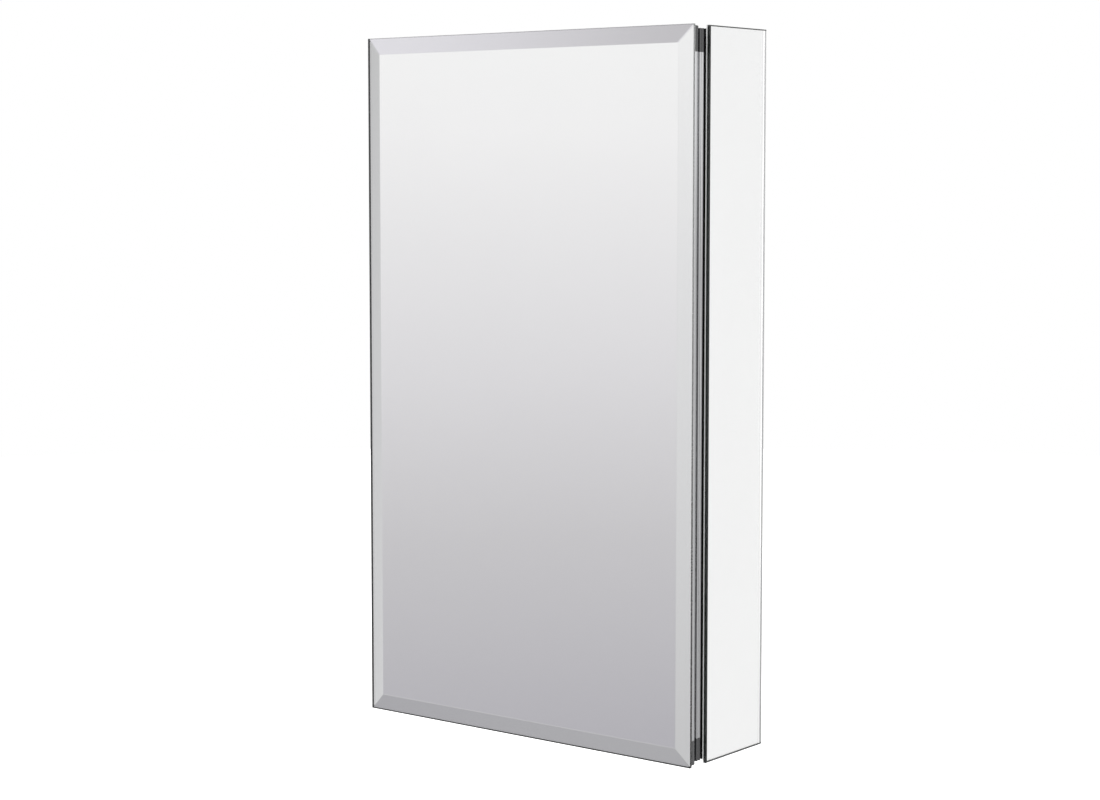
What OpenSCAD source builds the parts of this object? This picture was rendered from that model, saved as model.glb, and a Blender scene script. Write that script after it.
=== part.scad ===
// Medicine cabinet with a bevelled mirror door, for surface mounting.
// Millimetres. The wall is the plane y = 0, the front faces -Y, +X is to the right and +Z is up.
// The origin is the centre of the four wall screws, at the middle of the cabinet's height.

/* [Door mirror] */
// Width of the front mirror
door_w = 384.2; // [340:0.1:460]
// Height of the front mirror
door_h = 660.4; // [640:0.1:760]
// Thickness of the front mirror glass
front_glass_t = 5; // [4:0.1:6]
// Width of the bevel ground round the front mirror
bevel_w = 15.9; // [8:0.1:30]
// How much the bevel thins the glass at its rim
bevel_drop = 2.4; // [1:0.1:3]

/* [Door frame] */
// Depth of the frame members, back plane to glass
frame_d = 18.4; // [16:0.1:24]
// Width of the rebate that holds the inner mirror
rebate_w = 6; // [5:0.5:8]
// Wall of the hollow frame members
frame_wall = 1.4; // [1:0.1:1.8]
// How far the front lip lies in from the edge of the glass
lip_inset = 1; // [0.6:0.1:1.6]
// Thickness of the front lip, along the depth
lip_d = 7.7; // [6.5:0.1:8.2]
// How much the lip's face is crowned
lip_crown = 1.1; // [0.5:0.1:1.3]
// How far the floor of the groove lies in from the edge of the glass
groove_inset = 5.4; // [4.6:0.1:6]
// Width of the groove, along the depth
groove_h = 3.8; // [3:0.1:4.5]
// How far the rear band lies in from the edge of the glass
band_inset = 3; // [2.5:0.1:4]
// Radius of the rear band's front edge
band_r = 1; // [0.5:0.1:1.4]
// Depth of the cove along the rear band
cove_depth = 0.5; // [0.2:0.1:0.7]
// Width of the land on either side of the cove
cove_land = 0.9; // [0.5:0.1:1.2]
// Radius of the rear outer edge
rear_r = 1.2; // [0.6:0.1:1.6]
// Thickness of the inner mirror
inner_mirror_t = 3; // [2:0.1:4]
// Gap round the inner mirror in its rebate
inner_mirror_gap = 0.5; // [0.3:0.1:1]
// Height of the moulded corner blocks, from the edge of the glass
block_h = 24; // [20:0.5:26]
// Radius of the lip at the frame's corners
corner_r = 1.8; // [1:0.1:3]
// Length of the tenons on the corner blocks
tenon_l = 18; // [14:0.5:24]
// Clearance of a tenon in its frame member
tenon_gap = 0.15; // [0.1:0.05:0.3]

/* [Cabinet] */
// How far the sides of the box lie in from the edge of the front mirror
case_in_x = 13.1; // [12.6:0.1:14]
// How far the top and bottom of the box lie in from the edge of the front mirror
case_in_z = 17.2; // [15:0.1:24]
// Depth of the box, wall to the front of its flange
case_d = 91; // [80:0.5:120]
// Thickness of the box walls
case_t = 1.6; // [1.2:0.1:2]
// Width of the front flange beyond the box
flange_w = 7; // [6:0.5:8]
// Width of the rear lip, from the outside of the box
rear_lip_w = 12; // [9:0.5:15]
// Thickness of the back plate
back_t = 1; // [0.8:0.1:1.5]
// Thickness of the mirror inside the back
back_mirror_t = 3; // [2:0.1:4]
// Clearance round the mirror inside the back
back_mirror_gap = 0.5; // [0.3:0.1:1]

/* [Wall screws] */
// Spacing of the wall screws, side to side
wall_screw_x = 254; // [200:1:270]
// Spacing of the wall screws, up and down
wall_screw_z = 508; // [460:1:540]
// Radius of the hole for a wall screw
wall_screw_r = 2.6; // [2:0.1:3]
// Radius of the hole in the back mirror for a grommet
grommet_hole_r = 7; // [6:0.1:8]
// Width of the grommet's rim over the mirror
grommet_rim = 2; // [1:0.1:3]
// Thickness of the grommet's rim
grommet_rim_t = 1; // [0.8:0.1:1.5]

/* [Side mirrors] */
// How far the side mirrors stand out beyond the edge of the front mirror
side_out = 0.9; // [0.3:0.1:2]
// Thickness of the side mirror glass
side_glass_t = 3.3; // [3:0.1:4]
// Thickness of the sheet behind the side mirror
side_sheet_t = 1.1; // [0.8:0.1:1.2]
// Ground edge round the side mirror
side_arris = 0.8; // [0.4:0.1:1.2]
// Distance of a rail's end from the end of the box
rail_end = 23; // [10:1:60]
// Wall of the rails
rail_t = 1.2; // [1:0.1:1.5]
// Width of a rail's channel
rail_channel_w = 9; // [8:0.5:10]
// Width of each foot of a rail
rail_foot_w = 4.5; // [3:0.5:5]
// Spacing of the two rails of a side
rail_spacing = 22; // [20:0.5:24]
// Depth of the foam strip between a side mirror's sheet and the box's flange
side_seal_d = 10; // [6:0.5:14]
// Distance of a foam strip's end from the end of the side mirror
side_seal_end = 3; // [2:0.5:8]
// Gap between a foam strip and the flange
side_seal_gap = 0.3; // [0.2:0.05:0.5]
// Width of a foam strip at its ends, past the flange
side_seal_end_w = 6; // [4:0.5:8]

/* [Shelves] */
// Thickness of the glass shelves
shelf_t = 5; // [4:0.1:6]
// Distance from the wall to the back edge of the shelves
shelf_back_y = 8; // [8:0.5:12]
// Distance from the front of the box to the front edge of the shelves
shelf_front_in = 9; // [6:0.5:14]
// Number of peg holes from one shelf to the next
shelf_hole_count = 4; // [3:1:5]
// Radius of the front corners of the shelves
shelf_r = 6; // [2:0.5:12]
// Spacing of the peg holes
hole_pitch = 37.5; // [32:0.5:40]
// Number of peg holes in a row
hole_count = 13; // [11:2:15]
// Radius of a peg hole
peg_hole_r = 2.5; // [2:0.1:3]
// Clearance of a peg in its hole
peg_gap = 0.08; // [0.05:0.01:0.15]
// How far the peg holes lie in from the front and back edges of the shelves
peg_in = 10; // [8:0.5:12]

/* [Hinge] */
// Length of one knuckle, with its end play
knuckle_pitch = 25; // [15:0.5:40]
// Least distance from the hinge's end to the corner block
hinge_end = 5; // [4:0.5:20]
// Radius of the knuckles
knuckle_r = 1.5; // [1.3:0.05:1.5]
// Radius of the hinge pin
hinge_pin_r = 0.65; // [0.5:0.05:0.7]
// Running clearance of the pin in the door's knuckles
pin_gap = 0.05; // [0.02:0.01:0.09]
// Gap between a knuckle and the faces in front of it and behind it
knuckle_room = 0.3; // [0.25:0.05:0.5]
// Thickness of the hinge leaves
leaf_t = 0.8; // [0.6:0.05:0.9]
// End play between neighbouring knuckles
knuckle_gap = 0.25; // [0.15:0.05:0.5]
// How far the pin lies in from the side of the frame's rear band
hinge_in = 0.5; // [0.3:0.1:0.7]
// Number of rivets in each leaf
hinge_rivets = 7; // [5:2:9]

/* [Seal and catch] */
// Width of the seal's base
seal_w = 6; // [4:0.5:6]
// Thickness of the seal's base
seal_base_t = 1; // [0.6:0.1:1.2]
// Gap between the seal and the closed door
seal_gap = 0.3; // [0.2:0.1:0.5]
// Width of the catch housing
catch_w = 14; // [13:0.5:15]
// Height of the catch housing between its ears
catch_h = 46; // [44:0.5:50]
// Length of the catch housing, front to back
catch_d = 14; // [12:0.5:15]
// Width of the strike plate on the door
strike_w = 12; // [10:0.5:13]
// Thickness of the strike plate
strike_t = 1.2; // [0.8:0.1:1.4]
// Gap between the magnet's poles and the strike plate
catch_gap = 0.3; // [0.2:0.1:0.5]

/* [Hidden] */

$fn = 48;
eps = 0.01;

// Depths, front to back: glass, frame, gap, box, wall
flange_y = -case_d;
door_gap = 2 * (knuckle_r + knuckle_room);
door_back_y = flange_y - door_gap;
frame_front_y = door_back_y - frame_d;

// Half sizes of the door and the box
door_x = door_w / 2;
door_z = door_h / 2;
case_x = door_x - case_in_x;
case_z = door_z - case_in_z;
inside_x = case_x - case_t;
inside_z = case_z - case_t;
flange_x = case_x + flange_w;
flange_mid = (case_t + flange_w) / 2;
side_x = door_x + side_out;
sheet_x = side_x - side_glass_t - side_sheet_t;

// Countersunk screws and blind rivets
screw_r = 1.5;
screw_gap = 0.05;
screw_head_r = 2.8;
screw_head_h = 1.3;
rivet_r = 1.2;
rivet_gap = 0.05;
rivet_head_r = 2.2;
rivet_head_h = 0.6;
rivet_bulb_r = 1.8;
rivet_bulb_h = 1.5;

// The hinge
pin_x = -(door_x - band_inset) + hinge_in;
pin_y = (door_back_y + flange_y) / 2;
knuckle_count = 2 * floor((door_z - block_h - hinge_end) / knuckle_pitch);
hinge_l = knuckle_count * knuckle_pitch;
notch_gap = 0.3;
leaf_w = -inside_x - pin_x;
leaf_rivet_x = -inside_x - flange_mid;
rivet_pitch = (hinge_l - 1.2 * knuckle_pitch) / (hinge_rivets - 1);

// Screw ports on the box sides
port_r = 3.2;
port_bore_r = 1.6;
port_in = 9;
port_sunk = 0.2;
port_y = [flange_y + port_in, -port_in + back_t];
port_x = case_x + port_r - port_sunk;
case_screw_l = 12;

// Flush rivets that hold the back plate on the box's rear lips
back_rivet_r = 1.5;
back_lip_y = -back_t - case_t;
back_glass_y = back_lip_y - back_mirror_t;

// The frame's widths, from the edge of the glass: its back face takes the strike plate
catch_x = inside_x - catch_w / 2;
strike_margin = 0.3;
back_face_w = door_x - catch_x + strike_w / 2 + strike_margin;
frame_w = back_face_w + rebate_w;

// The inner mirror and the hollow of the frame members
rebate_d = inner_mirror_t + 0.1;
chamber_a = groove_inset + frame_wall;
chamber_front_a = lip_inset + lip_crown + frame_wall;
chamber_rear_a = band_inset + cove_depth + frame_wall;
rear_band_d = frame_d - lip_d - groove_h;

// Shelves and the rows of peg holes
shelf_pitch = shelf_hole_count * hole_pitch;
hole_rear_y = shelf_back_y + peg_in;
hole_front_y = case_d - shelf_front_in - peg_in;

// The rails behind a side mirror stand either side of the middle between the rows
rail_l = 2 * (case_z - rail_end);
rail_rear_y = (hole_rear_y + hole_front_y - rail_spacing) / 2;
rail_front_y = rail_rear_y + rail_spacing;

// Shelf clips
clip_plate_t = 1.6;
clip_w = 12;
clip_ledge_l = 10;
clip_ledge_t = 2.2;
clip_nib_l = 4.5;
clip_nib_t = 1.4;
shelf_side_gap = 0.3;
shelf_x = inside_x - clip_plate_t - shelf_side_gap;

// The catch
strike_h = 62;
strike_screw_in = 4;
catch_z = shelf_pitch / 2;
magnet_t = 4.8;
pole_t = 1.2;
magnet_h = 36;
pole_proud = 0.6;
poles_y = door_back_y + strike_t + catch_gap;
catch_y = poles_y + pole_proud;
catch_pocket_d = 9;
catch_pocket_gap = 0.1;
ear_h = 9;
ear_t = 3;
catch_screw_y = catch_y + catch_d / 2;
catch_screw_l = case_t + 0.6;

// ---------- shapes used again and again ----------

// A block from its two limits along each axis
module span(x, y, z) {
    translate([x[0], y[0], z[0]])
        cube([x[1] - x[0], y[1] - y[0], z[1] - z[0]]);
}

// A round bar along X, Y or Z
module bar_x(x, y, z, r) {
    translate([x[0], y, z]) rotate([0, 90, 0]) cylinder(h = x[1] - x[0], r = r);
}
module bar_y(x, y, z, r) {
    translate([x, y[0], z]) rotate([-90, 0, 0]) cylinder(h = y[1] - y[0], r = r);
}
module bar_z(x, y, z, r) {
    translate([x, y, z[0]]) cylinder(h = z[1] - z[0], r = r);
}

// A section drawn in (x, y), drawn out along Z
module along_z(length) {
    linear_extrude(height = length, center = true) children();
}
// The same section with its x turned to point up, drawn out along X
module along_x(length) {
    rotate([0, -90, 0]) linear_extrude(height = length, center = true) children();
}
// A section drawn in (x, z), drawn out along Y between two limits
module along_y(y) {
    translate([0, y[1], 0]) rotate([90, 0, 0])
        linear_extrude(height = y[1] - y[0]) children();
}

// A sheet of glass with its back at y = 0 and a bevel ground round its front
module bevel_section(width, t, bevel, drop) {
    polygon([[-width / 2, 0], [width / 2, 0], [width / 2, drop - t],
        [width / 2 - bevel, -t], [bevel - width / 2, -t], [-width / 2, drop - t]]);
}
module bevelled_glass(width, height, t, bevel, drop) {
    intersection() {
        along_z(height + 1) bevel_section(width, t, bevel, drop);
        along_x(width + 1) bevel_section(height, t, bevel, drop);
    }
}

// A blind rivet along +Z: its head below z = 0, its bulb beyond the grip
module rivet(grip) {
    translate([0, 0, -rivet_head_h])
        cylinder(h = rivet_head_h, r1 = rivet_head_r * 0.7, r2 = rivet_head_r);
    cylinder(h = grip + rivet_bulb_h, r = rivet_r);
    translate([0, 0, grip]) cylinder(h = rivet_bulb_h, r = rivet_bulb_r);
}

// A countersunk screw along +Z with its head flush at z = 0, and the hole for it
module flush_screw(length) {
    cylinder(h = screw_head_h, r1 = screw_head_r, r2 = screw_r);
    cylinder(h = length, r = screw_r);
}
module flush_screw_hole(length) {
    cylinder(h = screw_head_h, r1 = screw_head_r + screw_gap, r2 = screw_r + screw_gap);
    translate([0, 0, -eps]) cylinder(h = 2 * eps, r = screw_head_r + screw_gap);
    cylinder(h = length + screw_gap, r = screw_r + screw_gap);
}

// ---------- door frame ----------

// Radius of an arc from its chord and its rise
function arc_radius(chord, rise) = (chord * chord / 4 + rise * rise) / (2 * rise);

// Outline of a frame member. x is the distance in from the edge of the glass and y the
// distance from the back plane, forwards negative. It reaches in as far as "reach".
module frame_outline(reach) {
    lip_outline(reach);
    translate([groove_inset, -frame_d]) square([reach - groove_inset, frame_d]);
    band_outline(reach);
}

// The front lip, whose face is crowned
module lip_outline(reach) {
    crown_r = arc_radius(lip_d, lip_crown);
    translate([lip_inset + lip_crown, -frame_d]) square([reach - lip_inset - lip_crown, lip_d]);
    intersection() {
        translate([lip_inset + crown_r, -frame_d + lip_d / 2]) circle(r = crown_r);
        translate([lip_inset, -frame_d]) square([lip_crown + eps, lip_d]);
    }
}

// The rear band, with round edges and a cove between two lands
module band_outline(reach) {
    flat_end = rear_band_d - band_r;
    cove_r = arc_radius(flat_end - rear_r - 2 * cove_land, cove_depth);
    difference() {
        union() {
            translate([band_inset, -flat_end]) square([reach - band_inset, flat_end - rear_r]);
            translate([band_inset + band_r, -rear_band_d])
                square([reach - band_inset - band_r, 2 * band_r]);
            translate([band_inset + band_r, -flat_end]) circle(r = band_r);
            translate([band_inset + rear_r, -2 * rear_r])
                square([reach - band_inset - rear_r, 2 * rear_r]);
            translate([band_inset + rear_r, -rear_r]) circle(r = rear_r);
        }
        translate([band_inset + cove_depth - cove_r, -(flat_end + rear_r) / 2])
            circle(r = cove_r);
    }
}

// The hollow of a frame member, made smaller all round by "gap", in as far as "reach":
// the main hollow, and its shallower parts in the lip and in the rear band
module chamber_outline(gap, reach) {
    front_y = -frame_d + frame_wall + gap;
    main_reach = min(frame_w - frame_wall, reach) - gap;
    rear_reach = min(back_face_w - frame_wall, reach) - gap;
    translate([chamber_a + gap, front_y])
        square([main_reach - chamber_a - gap, -rebate_d - frame_wall - gap - front_y]);
    translate([chamber_front_a + gap, front_y])
        square([rear_reach - chamber_front_a - gap, lip_d - 2 * frame_wall - 2 * gap]);
    translate([chamber_rear_a + gap, -rear_band_d + frame_wall + gap])
        square([rear_reach - chamber_rear_a - gap, rear_band_d - 2 * frame_wall - 2 * gap]);
}

// Puts a section with x measured inwards at the edge of the glass, "half" from the middle
module at_edge(half) {
    translate([half, door_back_y]) mirror([1, 0]) children();
}

module member_section(half) {
    at_edge(half) difference() {
        frame_outline(frame_w);
        chamber_outline(0, frame_w);
        translate([back_face_w, -rebate_d]) square([frame_w, rebate_d + 1]);
    }
}

// Places of the frame's corner screws, measured in from the edges of the glass: the first
// is in the stile, the second in the rail
frame_screw_in = (band_inset + back_face_w) / 2 - 2;
corner_screws = [
    [frame_screw_in, block_h + tenon_l / 2],
    [frame_w + tenon_l / 2, frame_screw_in]
];
frame_screw_l = 9;

module corner_screw_places() {
    for (p = corner_screws)
        translate([door_x - p[0], door_back_y, door_z - p[1]]) rotate([90, 0, 0]) children();
}

module stile(side) {
    color("silver") difference() {
        mirror([side < 0 ? 1 : 0, 0, 0])
            along_z(door_h - 2 * block_h) member_section(door_x);
        for (up = [0, 1])
            mirror([side < 0 ? 1 : 0, 0, 0]) mirror([0, 0, up])
                corner_screw_places() flush_screw_hole(frame_screw_l);
        if (side < 0) leaf_rivet_places()
            bar_y(leaf_rivet_x, [door_back_y - 2 * frame_wall, door_back_y + 1], 0,
                rivet_r + rivet_gap);
        if (side > 0) strike_screw_places()
            plain_hole(strike_screw_l);
    }
}

module rail(up) {
    color("silver") mirror([0, 0, up > 0 ? 0 : 1]) difference() {
        along_x(door_w - 2 * frame_w) member_section(door_z);
        for (side = [0, 1])
            mirror([side, 0, 0]) corner_screw_places() flush_screw_hole(frame_screw_l);
    }
}

// The corner's shape seen from the front: a rectangle whose outer corner is round
module corner_front() {
    x1 = door_x - lip_inset;
    z1 = door_z - lip_inset;
    translate([door_x - frame_w, door_z - block_h])
        square([frame_w - lip_inset - corner_r, block_h - lip_inset]);
    translate([door_x - frame_w, door_z - block_h])
        square([frame_w - lip_inset, block_h - lip_inset - corner_r]);
    translate([x1 - corner_r, z1 - corner_r]) circle(r = corner_r);
}

// A corner block: the upright outline and the level one meet in a mitre, and a tenon runs
// into the stile and another into the rail
module corner_block(side, up) {
    color("#3a3a3d") mirror([side < 0 ? 1 : 0, 0, 0]) mirror([0, 0, up > 0 ? 0 : 1])
    difference() {
        union() {
            intersection() {
                along_y([frame_front_y, door_back_y]) corner_front();
                translate([0, 0, door_z - block_h / 2])
                    along_z(block_h) at_edge(door_x) frame_outline(frame_w);
                translate([door_x - frame_w / 2, 0, 0])
                    along_x(frame_w) at_edge(door_z) frame_outline(block_h);
            }
            translate([0, 0, door_z - block_h - tenon_l / 2])
                along_z(tenon_l + eps) at_edge(door_x) chamber_outline(tenon_gap, frame_w);
            translate([door_x - frame_w - tenon_l / 2, 0, 0])
                along_x(tenon_l + eps) at_edge(door_z) chamber_outline(tenon_gap, block_h);
        }
        span([0, door_x - back_face_w], [door_back_y - rebate_d, door_back_y + 1],
            [0, door_z - back_face_w]);
        corner_screw_places() cylinder(h = frame_screw_l + 1, r = screw_r + screw_gap);
    }
}

module frame_screws() {
    color("gray") for (side = [0, 1], up = [0, 1])
        mirror([side, 0, 0]) mirror([0, 0, up])
            corner_screw_places() flush_screw(frame_screw_l);
}

module front_mirror() {
    color("whitesmoke") translate([0, frame_front_y, 0])
        bevelled_glass(door_w, door_h, front_glass_t, bevel_w, bevel_drop);
}

module inner_mirror() {
    half_x = door_x - back_face_w - inner_mirror_gap;
    half_z = door_z - back_face_w - inner_mirror_gap;
    color("whitesmoke") span([-half_x, half_x],
        [door_back_y - rebate_d, door_back_y - rebate_d + inner_mirror_t], [-half_z, half_z]);
}

// ---------- cabinet box ----------

// A strip of sheet across the end of a mitred corner: from the inside of the box to
// "reach" beyond it, or inwards where reach is negative
module mitred_strip(half, end, reach) {
    polygon([[half, -end], [half, end], [half + reach, end + reach], [half + reach, -end - reach]]);
}

module case_side(side) {
    color("lightgray") mirror([side < 0 ? 1 : 0, 0, 0]) difference() {
        union() {
            span([inside_x, case_x], [flange_y + case_t, -back_t], [-inside_z, inside_z]);
            along_y([flange_y, flange_y + case_t])
                mitred_strip(inside_x, inside_z, case_t + flange_w);
            along_y([back_lip_y, -back_t])
                mitred_strip(inside_x, inside_z, case_t - rear_lip_w);
            for (y = port_y) bar_z(port_x, y, [-inside_z, inside_z], port_r);
        }
        for (y = port_y) bar_z(port_x, y, [-case_z, case_z], port_bore_r);
        peg_places() bar_x([inside_x - 1, case_x + 1], 0, 0, peg_hole_r);
        side_rivet_places() bar_x([inside_x - 1, case_x + 1], 0, 0, rivet_r + rivet_gap);
        if (side < 0) mirror([1, 0, 0]) leaf_rivet_places()
            bar_y(leaf_rivet_x, [flange_y - 1, flange_y + case_t + 1], 0, rivet_r + rivet_gap);
        if (side > 0) catch_screw_places()
            translate([0, 0, -1]) cylinder(h = catch_screw_l + 2, r = rivet_r + rivet_gap);
        back_rivet_places_side()
            bar_y(0, [back_lip_y - 1, 1], 0, back_rivet_r + rivet_gap);
    }
}

module case_end(up) {
    color("lightgray") mirror([0, 0, up > 0 ? 0 : 1]) difference() {
        union() {
            span([-flange_x, flange_x], [flange_y + case_t, -back_t], [inside_z, case_z]);
            along_y([flange_y, flange_y + case_t]) mirror([1, -1])
                mitred_strip(inside_z, inside_x, case_t + flange_w);
            along_y([back_lip_y, -back_t]) mirror([1, -1])
                mitred_strip(inside_z, inside_x, case_t - rear_lip_w);
        }
        for (side = [-1, 1], y = port_y)
            bar_z(side * port_x, y, [inside_z - 1, case_z + 1], port_bore_r);
        back_rivet_places_end()
            bar_y(0, [back_lip_y - 1, 1], 0, back_rivet_r + rivet_gap);
    }
}

// Pan head screws through the top and bottom into the ports
module case_screws() {
    color("gray") for (up = [0, 1], side = [-1, 1], y = port_y)
        mirror([0, 0, up]) translate([side * port_x, y, case_z]) {
            cylinder(h = 1, r = port_r - 0.2);
            translate([0, 0, 1]) cylinder(h = 0.8, r1 = port_r - 0.2, r2 = port_r * 0.6);
            translate([0, 0, -case_screw_l])
                cylinder(h = case_screw_l, r = port_bore_r - screw_gap);
        }
}

// Rivets of the back plate: in the sides' lips and in the top's and bottom's lips
back_rivet_in = (case_t + rear_lip_w) / 2;
module back_rivet_places_side() {
    for (z = [-1, -1 / 3, 1 / 3, 1] * (case_z * 0.8))
        translate([case_x - back_rivet_in, 0, z]) children();
}
module back_rivet_places_end() {
    for (x = [-1, 0, 1] * (case_x * 0.6))
        translate([x, 0, case_z - back_rivet_in]) children();
}
module all_back_rivet_places() {
    for (side = [0, 1]) mirror([side, 0, 0]) back_rivet_places_side() children();
    for (up = [0, 1]) mirror([0, 0, up]) back_rivet_places_end() children();
}

module wall_screw_places() {
    for (x = [-0.5, 0.5] * wall_screw_x, z = [-0.5, 0.5] * wall_screw_z)
        translate([x, 0, z]) children();
}

module back_plate() {
    color("silver") difference() {
        span([-case_x, case_x], [-back_t, 0], [-case_z, case_z]);
        wall_screw_places() bar_y(0, [-back_t - 1, 1], 0, wall_screw_r);
        all_back_rivet_places() bar_y(0, [-back_t - 1, 1], 0, back_rivet_r + rivet_gap);
    }
}

module back_rivets() {
    color("gray") all_back_rivet_places() bar_y(0, [back_lip_y, 0], 0, back_rivet_r);
}

module back_mirror() {
    half_x = inside_x - back_mirror_gap;
    half_z = inside_z - back_mirror_gap;
    color("whitesmoke") difference() {
        span([-half_x, half_x], [back_glass_y, back_lip_y], [-half_z, half_z]);
        wall_screw_places() bar_y(0, [back_glass_y - 1, back_lip_y + 1], 0, grommet_hole_r);
    }
}

// Foam tape between the back plate and the mirror
tape_w = 25;
tape_x = wall_screw_x / 2 - grommet_hole_r - tape_w;
module back_mirror_tape() {
    color("dimgray") for (x = [-tape_x, 0, tape_x])
        span([x - tape_w / 2, x + tape_w / 2], [back_lip_y, -back_t],
            [-0.9, 0.9] * inside_z);
}

module wall_grommets() {
    color("whitesmoke") wall_screw_places() difference() {
        union() {
            bar_y(0, [back_glass_y, -back_t], 0, grommet_hole_r - 0.2);
            bar_y(0, [back_glass_y - grommet_rim_t, back_glass_y], 0, grommet_hole_r + grommet_rim);
        }
        bar_y(0, [back_glass_y - grommet_rim_t - 1, 0], 0, wall_screw_r);
    }
}

// ---------- shelves ----------

module peg_places() {
    for (y = [-hole_rear_y, -hole_front_y], i = [0 : hole_count - 1])
        translate([0, y, (i - (hole_count - 1) / 2) * hole_pitch]) children();
}

module shelf(level) {
    y0 = flange_y + shelf_front_in;
    y1 = -shelf_back_y;
    z = level * shelf_pitch;
    color("paleturquoise") translate([0, 0, z - shelf_t / 2])
        linear_extrude(height = shelf_t) union() {
            translate([-shelf_x, y0 + shelf_r]) square([2 * shelf_x, y1 - y0 - shelf_r]);
            translate([shelf_r - shelf_x, y0]) square([2 * (shelf_x - shelf_r), 2 * shelf_r]);
            for (side = [-1, 1])
                translate([side * (shelf_x - shelf_r), y0 + shelf_r]) circle(r = shelf_r);
        }
}

// A clip on the right-hand side, for a shelf whose middle is at z = 0
module shelf_clip() {
    y = [-clip_w / 2, clip_w / 2];
    under = -shelf_t / 2;
    over = shelf_t / 2 + 0.1;
    span([inside_x - clip_plate_t, inside_x], y, [under - clip_ledge_t, over + clip_nib_t]);
    span([inside_x - clip_ledge_l, inside_x], y, [under - clip_ledge_t, under]);
    span([inside_x - clip_nib_l, inside_x], y, [over, over + clip_nib_t]);
    bar_x([inside_x - clip_plate_t, case_x + 1.2], 0, 0, peg_hole_r - peg_gap);
    // A web under the ledge, as a quarter disc
    intersection() {
        translate([inside_x, 0, under - clip_ledge_t]) rotate([90, 0, 0])
            cylinder(h = 2, r = clip_ledge_l - 2, center = true);
        span([inside_x - clip_ledge_l, inside_x], [-1, 1],
            [under - clip_ledge_t - clip_ledge_l, under - clip_ledge_t]);
    }
}

module shelf_clips(level) {
    color("gainsboro") for (side = [0, 1], y = [-hole_rear_y, -hole_front_y])
        mirror([side, 0, 0]) translate([0, y, level * shelf_pitch]) shelf_clip();
}

// ---------- side mirrors ----------

module side_rail(side, y) {
    channel = rail_channel_w / 2;
    color("silver") mirror([side < 0 ? 1 : 0, 0, 0]) difference() {
        along_z(rail_l) translate([0, y]) {
            translate([case_x, -channel]) square([rail_t, rail_channel_w]);
            for (s = [0, 1]) mirror([0, s]) {
                translate([case_x, channel - rail_t]) square([sheet_x - case_x, rail_t]);
                translate([sheet_x - rail_t, channel - rail_t]) square([rail_t, rail_foot_w + rail_t]);
            }
        }
        side_rivet_places() bar_x([case_x - 1, case_x + rail_t + 1], 0, 0, rivet_r + rivet_gap);
    }
}

module side_rivet_places() {
    for (y = [-rail_rear_y, -rail_front_y], z = [-1.5, -0.5, 0.5, 1.5] * (rail_l * 0.237))
        translate([0, y, z]) children();
}

module side_rail_rivets(side) {
    color("gray") mirror([side < 0 ? 1 : 0, 0, 0]) side_rivet_places()
        translate([inside_x, 0, 0]) rotate([0, 90, 0]) rivet(case_t + rail_t);
}

module side_sheet(side) {
    color("silver") mirror([side < 0 ? 1 : 0, 0, 0])
        span([sheet_x, sheet_x + side_sheet_t], [-case_d, 0], [-door_z, door_z]);
}

module side_mirror(side) {
    color("whitesmoke") mirror([side < 0 ? 1 : 0, 0, 0])
        translate([sheet_x + side_sheet_t, -case_d / 2, 0]) rotate([0, 0, 90])
            bevelled_glass(case_d, door_h, side_glass_t, side_arris, side_arris);
}

// A foam strip that closes the slot between a side mirror's sheet and the box's flange. Past
// the flange's ends it is wider
module side_seal(side) {
    half = door_z - side_seal_end;
    y = [flange_y + side_seal_gap, flange_y + side_seal_gap + side_seal_d];
    color("#1a1a1a") mirror([side < 0 ? 1 : 0, 0, 0]) {
        span([flange_x + side_seal_gap, sheet_x], y, [-half, half]);
        for (up = [0, 1]) mirror([0, 0, up])
            span([sheet_x - side_seal_end_w, sheet_x], y,
                [case_z + flange_w + side_seal_gap, half]);
    }
}

// ---------- seal ----------

seal_top_y = door_back_y + seal_gap;
seal_bulb_r = (flange_y - seal_base_t - seal_top_y) / 2 + 0.2;
seal_bore_r = seal_bulb_r * 0.5;
seal_joint = 0.2;

// The seal's section, in (x, y) about the middle of the flange
module seal_section() {
    difference() {
        union() {
            translate([-seal_w / 2, flange_y - seal_base_t]) square([seal_w, seal_base_t]);
            translate([0, seal_top_y + seal_bulb_r]) circle(r = seal_bulb_r);
        }
        translate([0, seal_top_y + seal_bulb_r]) circle(r = seal_bore_r);
    }
}

module seal_end(up) {
    x0 = pin_x + leaf_w + 1;
    x1 = inside_x + flange_mid + seal_w / 2;
    color("#1a1a1a") mirror([0, 0, up > 0 ? 0 : 1])
        translate([(x0 + x1) / 2, 0, inside_z + flange_mid]) along_x(x1 - x0) seal_section();
}

module seal_latch() {
    color("#1a1a1a") translate([inside_x + flange_mid, 0, 0])
        along_z(2 * (inside_z + flange_mid - seal_w / 2 - seal_joint)) seal_section();
}

// ---------- hinge ----------

// Children at the height of each rivet of a leaf
module leaf_rivet_places() {
    for (i = [0 : hinge_rivets - 1])
        translate([0, 0, (i - (hinge_rivets - 1) / 2) * rivet_pitch]) children();
}

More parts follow.
